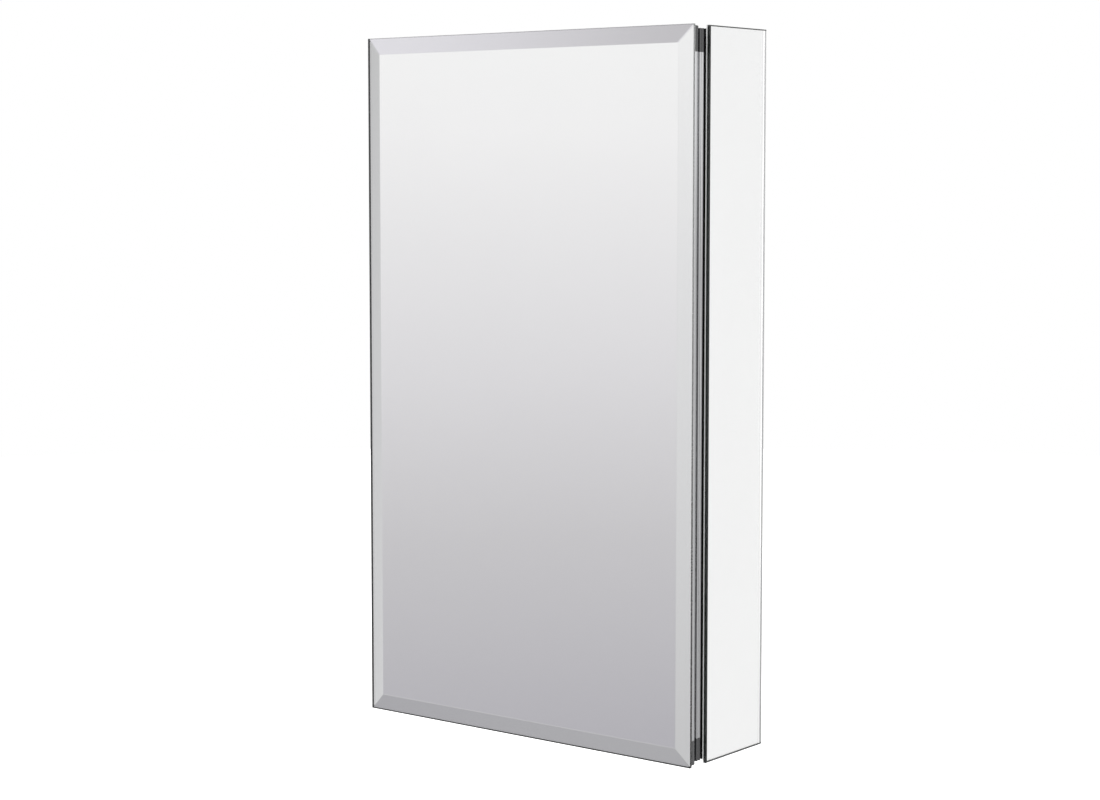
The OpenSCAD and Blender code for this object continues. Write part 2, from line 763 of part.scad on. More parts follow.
// A leaf whose outer face lies at y = face, towards = 1 when it lies behind the pin and
// -1 in front, with every second knuckle, beginning at "first"
module hinge_leaf(face, towards, first, bore_r) {
    plate_y = towards > 0 ? [face - leaf_t, face] : [face, face + leaf_t];
    notch_x = pin_x + knuckle_r + notch_gap;
    color("gainsboro") difference() {
        union() {
            span([notch_x, pin_x + leaf_w], plate_y, [-0.5, 0.5] * hinge_l);
            for (i = [first : 2 : knuckle_count - 1]) {
                z0 = -hinge_l / 2 + i * knuckle_pitch + (i == 0 ? 0 : knuckle_gap / 2);
                z1 = -hinge_l / 2 + (i + 1) * knuckle_pitch
                    - (i == knuckle_count - 1 ? 0 : knuckle_gap / 2);
                bar_z(pin_x, pin_y, [z0, z1], knuckle_r);
                span([pin_x, notch_x + eps], plate_y, [z0, z1]);
            }
        }
        bar_z(pin_x, pin_y, [-hinge_l, hinge_l], bore_r);
        leaf_rivet_places() bar_y(leaf_rivet_x, [face - 2, face + 2], 0, rivet_r + rivet_gap);
    }
}

// The pin, with a staked head beyond each end knuckle
module hinge_pin() {
    color("gray") {
        bar_z(pin_x, pin_y, [-0.5, 0.5] * hinge_l, hinge_pin_r);
        for (up = [0, 1]) mirror([0, 0, up])
            bar_z(pin_x, pin_y, [hinge_l / 2, hinge_l / 2 + 0.6], hinge_pin_r * 1.6);
    }
}

module hinge_rivets_case() {
    color("gray") leaf_rivet_places() translate([leaf_rivet_x, flange_y - leaf_t, 0])
        rotate([-90, 0, 0]) rivet(leaf_t + case_t);
}

module hinge_rivets_door() {
    color("gray") leaf_rivet_places() translate([leaf_rivet_x, door_back_y + leaf_t, 0])
        rotate([90, 0, 0]) rivet(leaf_t + frame_wall);
}

// ---------- magnetic catch ----------

catch_ear_z = catch_h / 2 + ear_h / 2;

// Children on the inner face of the right-hand side, pointing out through it
module catch_screw_places() {
    for (s = [-1, 1])
        translate([inside_x, catch_screw_y, catch_z + s * catch_ear_z])
            rotate([0, 90, 0]) children();
}

module catch_housing() {
    pocket_x = magnet_t / 2 + pole_t + catch_pocket_gap;
    color("whitesmoke") difference() {
        union() {
            span([inside_x - catch_w, inside_x], [catch_y, catch_y + catch_d],
                [catch_z - catch_h / 2, catch_z + catch_h / 2]);
            span([inside_x - ear_t, inside_x], [catch_y + 2, catch_y + catch_d - 2],
                [catch_z - catch_h / 2 - ear_h, catch_z + catch_h / 2 + ear_h]);
        }
        span([catch_x - pocket_x, catch_x + pocket_x], [catch_y - 1, catch_y + catch_pocket_d],
            [catch_z - magnet_h / 2 - catch_pocket_gap, catch_z + magnet_h / 2 + catch_pocket_gap]);
        catch_screw_places()
            translate([0, 0, -ear_t - 1]) cylinder(h = ear_t + 2, r = rivet_r + rivet_gap);
    }
}

module catch_magnet() {
    color("#333333") span([catch_x - magnet_t / 2, catch_x + magnet_t / 2],
        [catch_y, catch_y + catch_pocket_d], [catch_z - magnet_h / 2, catch_z + magnet_h / 2]);
}

module catch_poles() {
    color("silver") for (s = [-1, 1])
        translate([catch_x + s * (magnet_t + pole_t) / 2, 0, 0])
            span([-pole_t / 2, pole_t / 2], [poles_y, catch_y + catch_pocket_d],
                [catch_z - magnet_h / 2, catch_z + magnet_h / 2]);
}

module catch_screws() {
    color("gray") catch_screw_places() translate([0, 0, -ear_t]) {
        translate([0, 0, -rivet_head_h * 2])
            cylinder(h = rivet_head_h * 2, r1 = rivet_head_r * 0.7, r2 = rivet_head_r);
        cylinder(h = ear_t + catch_screw_l, r = rivet_r);
    }
}

strike_screw_l = 6;
module strike_screw_places() {
    for (s = [-1, 1])
        translate([catch_x, door_back_y, catch_z + s * (strike_h / 2 - strike_screw_in)])
            rotate([90, 0, 0]) children();
}

// A plain hole through the frame's wall for a strike screw
module plain_hole(length) {
    translate([0, 0, -1]) cylinder(h = length + 2, r = rivet_r + rivet_gap);
}

module catch_strike() {
    color("silver") difference() {
        span([catch_x - strike_w / 2, catch_x + strike_w / 2],
            [door_back_y, door_back_y + strike_t],
            [catch_z - strike_h / 2, catch_z + strike_h / 2]);
        strike_screw_places()
            translate([0, 0, -strike_t - 1]) cylinder(h = strike_t + 2, r = rivet_r + rivet_gap);
    }
}

module strike_screws() {
    color("gray") strike_screw_places() translate([0, 0, -strike_t]) {
        translate([0, 0, -rivet_head_h])
            cylinder(h = rivet_head_h, r1 = rivet_head_r * 0.7, r2 = rivet_head_r);
        cylinder(h = strike_t + strike_screw_l, r = rivet_r);
    }
}

// ---------- the nodes ----------

case_side(-1);  // case_side_left
case_side(1);  // case_side_right
case_end(1);  // case_top
case_end(-1);  // case_bottom
case_screws();
back_plate();
back_rivets();
back_mirror();
back_mirror_tape();
wall_grommets();
shelf(1);  // shelf_upper
shelf(0);  // shelf_middle
shelf(-1);  // shelf_lower
shelf_clips(1);  // shelf_clips_upper
shelf_clips(0);  // shelf_clips_middle
shelf_clips(-1);  // shelf_clips_lower
side_rail(-1, -rail_front_y);  // side_rail_left_front
side_rail(-1, -rail_rear_y);  // side_rail_left_rear
side_rail(1, -rail_front_y);  // side_rail_right_front
side_rail(1, -rail_rear_y);  // side_rail_right_rear
side_rail_rivets(-1);  // side_rail_rivets_left
side_rail_rivets(1);  // side_rail_rivets_right
side_sheet(-1);  // side_sheet_left
side_sheet(1);  // side_sheet_right
side_mirror(-1);  // side_mirror_left
side_mirror(1);  // side_mirror_right
side_seal(-1);  // side_seal_left
side_seal(1);  // side_seal_right
seal_end(1);  // seal_top
seal_end(-1);  // seal_bottom
seal_latch();
hinge_leaf(flange_y, 1, 0, hinge_pin_r + 0.02);  // hinge_leaf_case
hinge_leaf(door_back_y, -1, 1, hinge_pin_r + pin_gap);  // hinge_leaf_door
hinge_pin();
hinge_rivets_case();
hinge_rivets_door();
catch_housing();
catch_magnet();
catch_poles();
catch_screws();
catch_strike();
strike_screws();
front_mirror();
inner_mirror();
stile(-1);  // stile_hinge
stile(1);  // stile_latch
rail(1);  // rail_top
rail(-1);  // rail_bottom
corner_block(-1, 1);  // corner_block_top_hinge
corner_block(1, 1);  // corner_block_top_latch
corner_block(-1, -1);  // corner_block_bottom_hinge
corner_block(1, -1);  // corner_block_bottom_latch
frame_screws();
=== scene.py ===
# %% [markdown]
# # A medicine cabinet with a bevelled mirror door
#
# The cabinet hangs on a wall. Its door is a sheet of bevelled mirror on an aluminium frame, its
# sides are clad with mirror too, and inside there are glass shelves and more mirrors. The packed
# CAD model already holds every solid piece at its real size. This lesson gives those pieces their
# finishes, and adds the few thin or finely shaped things that a solid model leaves out: the
# silvering on the glass, the sealing paint on its rims, the domed heads of the rivets, the cross
# recesses of the screws and the rounded grommets.

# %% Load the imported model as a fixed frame
import math

import bmesh
import bpy
import numpy as np
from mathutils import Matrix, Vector


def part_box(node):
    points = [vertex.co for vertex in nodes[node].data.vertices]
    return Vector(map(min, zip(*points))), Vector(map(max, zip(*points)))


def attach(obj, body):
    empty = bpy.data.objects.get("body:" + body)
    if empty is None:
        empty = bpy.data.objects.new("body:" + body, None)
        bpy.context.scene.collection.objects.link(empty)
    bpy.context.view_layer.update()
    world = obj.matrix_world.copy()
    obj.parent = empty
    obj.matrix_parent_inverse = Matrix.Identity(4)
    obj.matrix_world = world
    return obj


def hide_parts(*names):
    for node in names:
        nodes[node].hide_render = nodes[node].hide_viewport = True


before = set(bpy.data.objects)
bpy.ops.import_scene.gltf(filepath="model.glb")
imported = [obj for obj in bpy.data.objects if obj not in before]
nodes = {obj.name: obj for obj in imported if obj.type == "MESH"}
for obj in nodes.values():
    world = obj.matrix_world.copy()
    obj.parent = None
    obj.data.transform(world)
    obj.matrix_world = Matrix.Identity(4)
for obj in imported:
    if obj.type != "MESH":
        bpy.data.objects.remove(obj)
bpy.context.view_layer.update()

MM = 0.001

# %% [markdown]
# ## The camera
#
# The cabinet is seen from the front right at the height of its upper part, with a long lens. The
# lens is shifted down a little, as a view camera's is, so that the cabinet's upright edges stay
# nearly parallel although the camera looks down at it.

# %% Camera
CAMERA_PLACE = (1.355, -1.798, 0.202)
CAMERA_TURN = math.radians(38.16)
CAMERA_TILT = math.radians(4.68)
LENS_MM = 76.1
LENS_SHIFT = -0.035

camera_data = bpy.data.cameras.new("camera")
camera_data.lens = LENS_MM
camera_data.shift_y = LENS_SHIFT
camera = bpy.data.objects.new("camera", camera_data)
camera.location = CAMERA_PLACE
camera.rotation_euler = (math.pi / 2 - CAMERA_TILT, 0, CAMERA_TURN)
bpy.context.scene.collection.objects.link(camera)
bpy.context.scene.camera = camera
print(f"camera {Vector(CAMERA_PLACE).length:.2f} m from the middle of the back")

# %% [markdown]
# ## A few words for building node trees
#
# A finish is a small tree of nodes. Most trees here need the same handful of steps: read the
# place on the piece, stretch it, look up a noise there, and turn that noise into a colour, a
# roughness or a fine relief. Each step gets one short function that returns an output socket, so
# that a finish reads as a few lines. Places are read in Object coordinates. Every piece keeps its
# place in its mesh, so a pattern never slides when the door swings.


# %% Node helpers
def add_node(tree, kind, **inputs):
    """Add a node, and set or link the inputs that are named, with _ for a space."""
    node = tree.nodes.new(kind)
    for key, value in inputs.items():
        socket = node.inputs[key.replace("_", " ")]
        if isinstance(value, bpy.types.NodeSocket):
            tree.links.new(value, socket)
        else:
            socket.default_value = value
    return node


def place_on_piece(tree, stretch=(1, 1, 1)):
    """Object coordinates in metres, each multiplied by its stretch."""
    place = tree.nodes.new("ShaderNodeTexCoord").outputs["Object"]
    return add_node(tree, "ShaderNodeMapping", Vector=place, Scale=stretch).outputs["Vector"]


def noise(tree, place, scale, detail=3.0):
    """Smooth random values around a half, whose grains are about 1/scale across."""
    node = add_node(tree, "ShaderNodeTexNoise", Vector=place, Scale=scale, Detail=detail)
    return node.outputs["Fac"]


def between(tree, value, low, high, start=0.3, end=0.7):
    """Map a value from start..end to low..high, smoothly and without going past either."""
    node = tree.nodes.new("ShaderNodeMapRange")
    node.interpolation_type = "SMOOTHSTEP"
    for key, number in (("From Min", start), ("From Max", end), ("To Min", low), ("To Max", high)):
        node.inputs[key].default_value = number
    tree.links.new(value, node.inputs["Value"])
    return node.outputs["Result"]


def calculate(tree, operation, first, second=0.0):
    """One step of arithmetic on sockets or numbers."""
    node = tree.nodes.new("ShaderNodeMath")
    node.operation = operation
    for socket, value in zip(node.inputs, (first, second)):
        if isinstance(value, bpy.types.NodeSocket):
            tree.links.new(value, socket)
        else:
            socket.default_value = value
    return node.outputs["Value"]


def blend_colours(tree, share, first, second):
    """A colour that goes from the first to the second as share goes from 0 to 1."""
    node = tree.nodes.new("ShaderNodeMix")
    node.data_type = "RGBA"
    for key, value in ((0, share), (6, first), (7, second)):
        if isinstance(value, bpy.types.NodeSocket):
            tree.links.new(value, node.inputs[key])
        else:
            node.inputs[key].default_value = value if key == 0 else (*value, 1.0)
    return node.outputs[2]


def relief(tree, height, depth):
    """A normal that tilts as if the surface rose and fell by depth, in metres."""
    node = add_node(tree, "ShaderNodeBump", Height=height, Distance=depth)
    return node.outputs["Normal"]


print("seven node helpers")

# %% [markdown]
# ## Three steps for every finish
#
# A finish starts as a Principled shader. A number that is the same all over, such as a refractive
# index, is set directly on the shader, and what varies over the piece is linked to it. Then the
# finish goes on its CAD nodes. Each came with a plain colour, which is cleared first.


# %% Finish helpers
def new_finish(name, colour, **constants):
    """A material with a Principled shader, and its tree. Constants go straight on its sockets."""
    material = bpy.data.materials.new(name)
    material.use_nodes = True
    material.diffuse_color = (*colour, 1.0)
    shader = material.node_tree.nodes["Principled BSDF"]
    shader.inputs["Base Color"].default_value = (*colour, 1.0)
    for key, value in constants.items():
        shader.inputs[key.replace("_", " ")].default_value = value
    return material, material.node_tree, shader


def feed(tree, shader, **outputs):
    """Link sockets to the shader's inputs by name."""
    for key, socket in outputs.items():
        tree.links.new(socket, shader.inputs[key.replace("_", " ")])


dressed = set()


def dress(material, *names):
    """Give CAD nodes a finish, in place of the plain colour that they came with."""
    for name in names:
        slots = nodes[name].data.materials
        slots.clear()
        slots.append(material)
    dressed.update(names)


print("three finish helpers")

# %% [markdown]
# ## The surroundings
#
# A mirror has hardly any looks of its own: it shows the room. So the room matters more here than
# any finish. Mirrors, metal and glass see a pale studio, which the next five cells put together.
# The camera sees plain white, and matt surfaces are lit by an even grey.
#
# The room could be built from walls and cards. It is a sky here, because a sky has no edges, and
# what a mirror shows then depends on the direction alone, from every side and at any door angle.
# Directions are worked out as two angles in degrees: the height above the horizon, and the turn
# from the cabinet's front towards its left.

# %% World: directions
world = bpy.data.worlds.new("studio")
bpy.context.scene.world = world
world.use_nodes = True
sky = world.node_tree
sky.nodes.clear()

direction = sky.nodes.new("ShaderNodeTexCoord").outputs["Generated"]
parts = add_node(sky, "ShaderNodeSeparateXYZ", Vector=direction).outputs
toward_left = calculate(sky, "MULTIPLY", parts["X"], -1.0)
toward_front = calculate(sky, "MULTIPLY", parts["Y"], -1.0)
turn = calculate(sky, "DEGREES", calculate(sky, "ARCTAN2", toward_left, toward_front))
height = calculate(sky, "DEGREES", calculate(sky, "ARCSINE", parts["Z"]))


def sky_ramp(value, stops, start, end):
    """A colour ramp whose stops are given at plain values between start and end."""
    share = calculate(sky, "DIVIDE", calculate(sky, "SUBTRACT", value, start), end - start)
    node = add_node(sky, "ShaderNodeValToRGB", Fac=share)
    marks = node.color_ramp.elements
    while len(marks) < len(stops):
        marks.new(0.5)
    for mark, (at, colour) in zip(marks, stops):
        mark.position = (at - start) / (end - start)
        mark.color = (*colour, 1.0)
    return node.outputs["Color"]


def sky_band(angle, middle, half, fade):
    """1 where an angle is within half of the middle, falling to 0 over the next fade."""
    away = calculate(sky, "ABSOLUTE", calculate(sky, "SUBTRACT", angle, middle))
    return between(sky, away, 1.0, 0.0, half, half + fade)


print("directions as a turn and a height")

# %% [markdown]
# ## The room in front
#
# In front of the cabinet the light falls off below eye level, from white at the horizon to a
# cool grey near the ground, and above eye level comes a grey ceiling. Further left the room is
# greyer and more even, and to the right it has a brighter horizon. Each of the three is a ramp
# over the height, whose stops are a height and a colour. The turn blends them.

# %% World: the room in front
front_room = sky_ramp(height, [
    (-35, (0.45, 0.45, 0.455)),
    (-25, (0.455, 0.45, 0.475)),
    (-14, (0.498, 0.488, 0.524)),
    (-9, (0.63, 0.62, 0.64)),
    (-5, (0.78, 0.77, 0.79)),
    (1, (0.965, 0.96, 0.965)),
    (3, (0.99, 0.99, 0.99)),
    (10, (1.0, 1.0, 1.0)),
    (14, (0.66, 0.66, 0.67)),
    (60, (0.80, 0.80, 0.80)),
], -35, 60)
# The ceiling is lighter towards the left
ceiling = blend_colours(sky, between(sky, turn, 0.0, 1.0, 35.0, 45.0),
                        (0.574, 0.562, 0.584), (0.836, 0.823, 0.865))
front_room = blend_colours(sky, between(sky, height, 0.0, 1.0, 10.0, 14.0), front_room, ceiling)
left_room = sky_ramp(height, [
    (-30, (0.70, 0.70, 0.71)),
    (-14, (0.82, 0.82, 0.83)),
    (-5, (0.77, 0.77, 0.78)),
    (3, (0.70, 0.70, 0.705)),
    (10, (0.70, 0.70, 0.705)),
    (15, (0.62, 0.62, 0.63)),
    (60, (0.80, 0.80, 0.80)),
], -30, 60)
right_room = sky_ramp(height, [
    (-30, (0.56, 0.56, 0.57)),
    (-14, (0.72, 0.72, 0.73)),
    (-2, (0.97, 0.97, 0.98)),
    (4, (1.13, 1.13, 1.13)),
    (10, (1.13, 1.13, 1.13)),
    (14, (0.74, 0.74, 0.75)),
    (60, (0.85, 0.85, 0.85)),
], -30, 60)
room = blend_colours(sky, between(sky, turn, 0.0, 1.0, 47.5, 56.0), front_room, left_room)
room = blend_colours(sky, between(sky, turn, 1.0, 0.0, 20.0, 33.0), room, right_room)
print("three ramps: front, left and right")

# %% [markdown]
# ## Folds in the room's light
#
# Soft upright folds, as of a pale curtain, give a mirror's side bevels something to show. The
# flat and the side bevels see directions 17 to 24 degrees apart, so with folds 42 degrees apart
# one of them is always a little darker. Straight ahead and to the right the room is dimmer than
# on the left, so that a mirror that is seen straight on doesn't glare.

# %% World: folds
FOLD_PEAK = 38.8
FOLD_SPACING = 42.0
FOLD_SHADE = 0.86
DIMMER_AHEAD = 0.77

folds_past_peak = calculate(sky, "MULTIPLY", calculate(sky, "SUBTRACT", turn, FOLD_PEAK),
                            360.0 / FOLD_SPACING)
fold = calculate(sky, "COSINE", calculate(sky, "RADIANS", folds_past_peak))
fold_light = calculate(sky, "MULTIPLY", between(sky, fold, FOLD_SHADE, 1.0, -1.0, 1.0),
                       between(sky, turn, DIMMER_AHEAD, 1.0, 7.0, 16.0))
folded = add_node(sky, "ShaderNodeVectorMath")
folded.operation = "SCALE"
sky.links.new(room, folded.inputs[0])
sky.links.new(fold_light, folded.inputs["Scale"])
room = folded.outputs["Vector"]
print(f"folds every {FOLD_SPACING:.0f} degrees")

# %% [markdown]
# ## Behind the cabinet, and a window
#
# Behind the cabinet all is white, but for the wall straight behind it, which is in its own
# shade. A tall bright window stands far to the right, where only rounded metal finds it.

# %% World: the wall and the window
WHITE_LIGHT = (1.0, 1.0, 1.0)
WALL_LIGHT = (0.50, 0.50, 0.51)
WINDOW_LIGHT = (1.65, 1.65, 1.65)
WINDOW_TURN = -112.0
WINDOW_HEIGHT = 8.0

wall = between(sky, calculate(sky, "ABSOLUTE", turn), 0.0, 1.0, 155.0, 168.0)
back_room = blend_colours(sky, wall, WHITE_LIGHT, WALL_LIGHT)
behind = between(sky, toward_front, 1.0, 0.0, -0.3, 0.1)
room = blend_colours(sky, behind, room, back_room)
window = calculate(sky, "MULTIPLY", sky_band(turn, WINDOW_TURN, 6.0, 5.0),
                   sky_band(height, WINDOW_HEIGHT, 14.0, 8.0))
room = blend_colours(sky, window, room, WINDOW_LIGHT)
print(f"window {-WINDOW_TURN:.0f} degrees to the right")

# %% [markdown]
# ## What each kind of ray sees
#
# Light Path tells a ray from the camera from one that a mirror sends on. Reflections, and views
# through glass, get the room. Matt surfaces get an even grey light, and the camera plain white.

# %% World: rays
MATT_LIGHT = (0.62, 0.62, 0.62)

rays = sky.nodes.new("ShaderNodeLightPath").outputs
seen_in_gloss = calculate(sky, "MAXIMUM", rays["Is Glossy Ray"], rays["Is Transmission Ray"])
light = blend_colours(sky, seen_in_gloss, MATT_LIGHT, room)
light = blend_colours(sky, rays["Is Camera Ray"], light, WHITE_LIGHT)
background = add_node(sky, "ShaderNodeBackground", Color=light, Strength=1.0)
output = sky.nodes.new("ShaderNodeOutputWorld")
sky.links.new(background.outputs["Background"], output.inputs["Surface"])
print(f"a sky of {len(sky.nodes)} nodes")

# %% [markdown]
# ## Surfaces from grids
#
# Each new piece is a grid of points, rows by columns, that numpy works out as whole arrays. Quads
# join the neighbours, and where the grid closes on itself, as round a rim, one more row or column
# of quads joins its ends. Points that coincide, as at a pole, are merged, and then all faces are
# turned outwards.


# %% Grid helpers
def grid_faces(rows, columns, wrap_rows=False, wrap_columns=False):
    """Quads over a grid of rows x columns points, joined round where it wraps."""
    index = np.arange(rows * columns).reshape(rows, columns)
    if wrap_rows:
        index = np.vstack([index, index[:1]])
    if wrap_columns:
        index = np.hstack([index, index[:, :1]])
    return np.stack([index[:-1, :-1], index[:-1, 1:], index[1:, 1:], index[1:, :-1]],
                    axis=-1).reshape(-1, 4)


def joined_grids(grids, wrap_rows=False):
    """Points and faces of several grids of one size, whose columns wrap, as one surface."""
    rows, columns = grids[0].shape[:2]
    faces = grid_faces(rows, columns, wrap_rows, wrap_columns=True)
    steps = np.arange(len(grids))[:, None, None] * rows * columns
    points = np.concatenate([grid.reshape(-1, 3) for grid in grids])
    return points, (faces[None] + steps).reshape(-1, 4)


def make_object(name, points, faces, material, smooth_below=None):
    """One mesh object at the origin. Points that coincide, as at a pole, become one. Edges that
    turn by fewer degrees than smooth_below are shaded round."""
    mesh = bpy.data.meshes.new(name)
    mesh.from_pydata(points.reshape(-1, 3).tolist(), [], faces.tolist())
    work = bmesh.new()
    work.from_mesh(mesh)
    bmesh.ops.remove_doubles(work, verts=work.verts, dist=1e-7)
    bmesh.ops.recalc_face_normals(work, faces=work.faces)
    work.to_mesh(mesh)
    work.free()
    mesh.materials.append(material)
    if smooth_below:
        mesh.shade_smooth()
        mesh.set_sharp_from_angle(angle=math.radians(smooth_below))
    made = bpy.data.objects.new(name, mesh)
    bpy.context.scene.collection.objects.link(made)
    return made


print("three grid helpers")

# %% [markdown]
# ## The floor
#
# The cabinet hangs, so the floor lies well below it and only catches its soft shadow. It is a
# wide disc. Mirrors look through it to the room's own grey, as does a camera that is placed below
# it. To a camera above, it gets a little extra white, more of it further out, so that it meets
# the white background without a line.

# %% Floor
FLOOR_Z = -0.9
FLOOR_RADIUS = 7.0
# How much extra white there is at two distances from the middle, in metres
EXTRA_WHITE = (0.35, 1.0)
EXTRA_REACH = (0.5, 2.2)


def disc(radius, z, rings=24, spokes=96):
    """A flat disc: points at rings of growing radius and spokes of growing angle."""
    r = np.linspace(0, radius, rings)[:, None]
    a = np.linspace(0, 2 * np.pi, spokes, endpoint=False)[None, :]
    return np.stack([r * np.cos(a), r * np.sin(a), np.full((rings, spokes), z)], axis=-1)


floor_material = bpy.data.materials.new("studio_floor")
floor_material.use_nodes = True
tree = floor_material.node_tree
tree.nodes.clear()
rays = tree.nodes.new("ShaderNodeLightPath").outputs
soft_patches = noise(tree, place_on_piece(tree), 1.5)
paint = blend_colours(tree, soft_patches, (0.74, 0.74, 0.74), (0.78, 0.78, 0.78))
matt = add_node(tree, "ShaderNodeBsdfDiffuse", Color=paint)
where = tree.nodes.new("ShaderNodeTexCoord").outputs["Object"]
flat_place = add_node(tree, "ShaderNodeVectorMath", Vector=where)
flat_place.operation = "MULTIPLY"
flat_place.inputs[1].default_value = (1, 1, 0)
distance = add_node(tree, "ShaderNodeVectorMath", Vector=flat_place.outputs["Vector"])
distance.operation = "LENGTH"
whiteness = between(tree, distance.outputs["Value"], *EXTRA_WHITE, *EXTRA_REACH)
extra = calculate(tree, "MULTIPLY", rays["Is Camera Ray"], whiteness)
glow = add_node(tree, "ShaderNodeEmission", Strength=extra)
lit = tree.nodes.new("ShaderNodeAddShader")
tree.links.new(matt.outputs[0], lit.inputs[0])
tree.links.new(glow.outputs[0], lit.inputs[1])
# Clear to reflections, to views through glass and to whatever looks from below
unseen = calculate(tree, "MAXIMUM", rays["Is Glossy Ray"], rays["Is Transmission Ray"])
from_below = tree.nodes.new("ShaderNodeNewGeometry").outputs["Backfacing"]
unseen = calculate(tree, "MAXIMUM", unseen, from_below)
mix = add_node(tree, "ShaderNodeMixShader", Fac=unseen)
tree.links.new(lit.outputs[0], mix.inputs[1])
tree.links.new(tree.nodes.new("ShaderNodeBsdfTransparent").outputs[0], mix.inputs[2])
tree.links.new(mix.outputs[0], tree.nodes.new("ShaderNodeOutputMaterial").inputs["Surface"])

floor_points = disc(FLOOR_RADIUS, FLOOR_Z)
floor_faces = grid_faces(*floor_points.shape[:2], wrap_columns=True)
floor = make_object("floor", floor_points, floor_faces, floor_material)
# An open disc has no outside, so its faces may come out looking down
if floor.data.polygons[0].normal.z < 0:
    floor.data.flip_normals()

# %% [markdown]
# ## The lamps
#
# Two large soft lamps stand high in front and a third lights the back. Mirrors don't see them:
# they are kept out of reflections, as in a studio, where lamps are moved about until no mirror
# shows them. Matt surfaces still take their soft light and give their soft shadow.


# %% Lamps
def soft_lamp(name, place, size, power):
    """A square area lamp that faces the middle of the cabinet's back, with its size in metres and
    its power in watts."""
    data = bpy.data.lights.new(name, "AREA")
    data.size = size
    data.energy = power
    lamp = bpy.data.objects.new(name, data)
    lamp.location = place
    lamp.rotation_euler = (-Vector(place)).to_track_quat("-Z", "Y").to_euler()
    lamp.visible_camera = False
    lamp.visible_glossy = False
    lamp.visible_transmission = False
    bpy.context.scene.collection.objects.link(lamp)


soft_lamp("lamp_right", (1.9, -1.9, 2.3), 1.6, 42)
soft_lamp("lamp_left", (-2.2, -1.5, 2.0), 1.6, 22)
soft_lamp("lamp_back", (0.6, 2.4, 2.0), 1.8, 26)
bpy.context.scene.view_settings.view_transform = "Standard"
print("three soft lamps")

# %% [markdown]
# ## Mirror glass
#
# A household mirror is a sheet of float glass with silver on its back. What the eye sees at a
# bevel comes from the glass: light bends on its way in and out of the sloping face, so the bevel
# shows a part of the room further round than the flat does, and its inner edge shows twice, once
# in the glass and once in the silver. A shiny metal surface with the same facets wouldn't do
# this. So the CAD glass stays glass, with a refractive index of 1.52, and a sheet of silver goes
# just inside its back.
#
# Float glass is faintly green, which only shows where one looks through a long way of it, as at
# the edges of the side mirrors and the shelves. Volume absorption does that by itself. The rims
# are ground and not polished: they are told apart by their normals, which point along the
# sheet's own plane, and are given some roughness.


# %% Glass
GLASS_TINT = (0.74, 0.93, 0.82)


def glass_finish(name, face_axis, tint_density, rim_roughness=0.28):
    """Clear float glass whose big faces look along face_axis (0, 1 or 2)."""
    material, tree, shader = new_finish(name, (0.991, 0.992, 0.992), IOR=1.52,
                                        Transmission_Weight=1.0)
    normal = tree.nodes.new("ShaderNodeTexCoord").outputs["Normal"]
    along_face = add_node(tree, "ShaderNodeSeparateXYZ", Vector=normal).outputs[face_axis]
    polish = calculate(tree, "ABSOLUTE", along_face)
    grinding = noise(tree, place_on_piece(tree, (900, 900, 900)), 1.0, 2.0)
    ground = between(tree, grinding, rim_roughness * 0.94, rim_roughness)
    # 0 on the faces and the bevels, 1 on the rims
    is_rim = between(tree, polish, 1.0, 0.0, 0.05, 0.3)
    # A slow faint wave, quicker up the sheet than along it
    waves = noise(tree, place_on_piece(tree, (6, 6, 22)), 1.0, 1.0)
    feed(tree, shader, Roughness=calculate(tree, "MULTIPLY", ground, is_rim),
         Normal=relief(tree, waves, 0.000001))
    absorb = add_node(tree, "ShaderNodeVolumeAbsorption", Color=(*GLASS_TINT, 1.0),
                      Density=tint_density)
    output = tree.nodes["Material Output"]
    tree.links.new(absorb.outputs["Volume"], output.inputs["Volume"])
    return material


front_glass = glass_finish("mirror_glass", 1, 1.5)
side_glass = glass_finish("side_mirror_glass", 0, 1.5, 0.14)
shelf_glass = glass_finish("shelf_glass", 2, 14.0)
dress(front_glass, "front_mirror", "inner_mirror", "back_mirror")
dress(side_glass, "side_mirror_left", "side_mirror_right")
dress(shelf_glass, "shelf_upper", "shelf_middle", "shelf_lower")
print("glass on", len(dressed), "nodes")

# %% [markdown]
# ## Silvering
#
# The silver is a film, here 0.02 mm thick so that it is a closed sheet with a front and a back.
# It is worked out as rings: a small outline, a large one, the large one again a film's thickness
# further back, and the small one again. Where the glass is whole, the small outline shrinks to a
# point. Where the glass has a hole for a wall screw, the small outline is a circle round that
# hole, and the large one is a rectangle round it, so four such cells make up the whole sheet.

# %% Outlines and films
OUTLINE_POINTS = 64


def rectangle_outline(low, high, count=OUTLINE_POINTS):
    """Points round a rectangle, from the middle of its right side, at equal turns of angle.

    A ray at angle t meets a square at (cos t, sin t) divided by the larger of their sizes."""
    t = np.linspace(0, 2 * np.pi, count, endpoint=False)
    ray = np.stack([np.cos(t), np.sin(t)], axis=-1)
    square = ray / np.abs(ray).max(axis=1, keepdims=True)
    low, high = np.asarray(low), np.asarray(high)
    return (low + high) / 2 + square * (high - low) / 2


def circle_outline(centre, radius, count=OUTLINE_POINTS):
    """Points round a circle, at the same turns of angle as a rectangle's outline."""
    t = np.linspace(0, 2 * np.pi, count, endpoint=False)
    return np.asarray(centre) + radius * np.stack([np.cos(t), np.sin(t)], axis=-1)


def film(inner, outer, axis, front, back):
    """A closed film between two outlines in the plane across an axis, from front to back."""
    rings = np.stack([inner, outer, outer, inner])
    depth = np.repeat([front, front, back, back], len(inner)).reshape(4, -1)
    return np.insert(rings, axis, depth, axis=-1)


print(f"{OUTLINE_POINTS} points round each outline")

# %% [markdown]
# ## The flat sheets of silver
#
# A mirror inside the cabinet or on its side is flat, so its silver is one film at one depth. It
# stops a little inside the rim, and short of the holes for the wall screws. The finish is a
# bright metal with a barely uneven gloss.


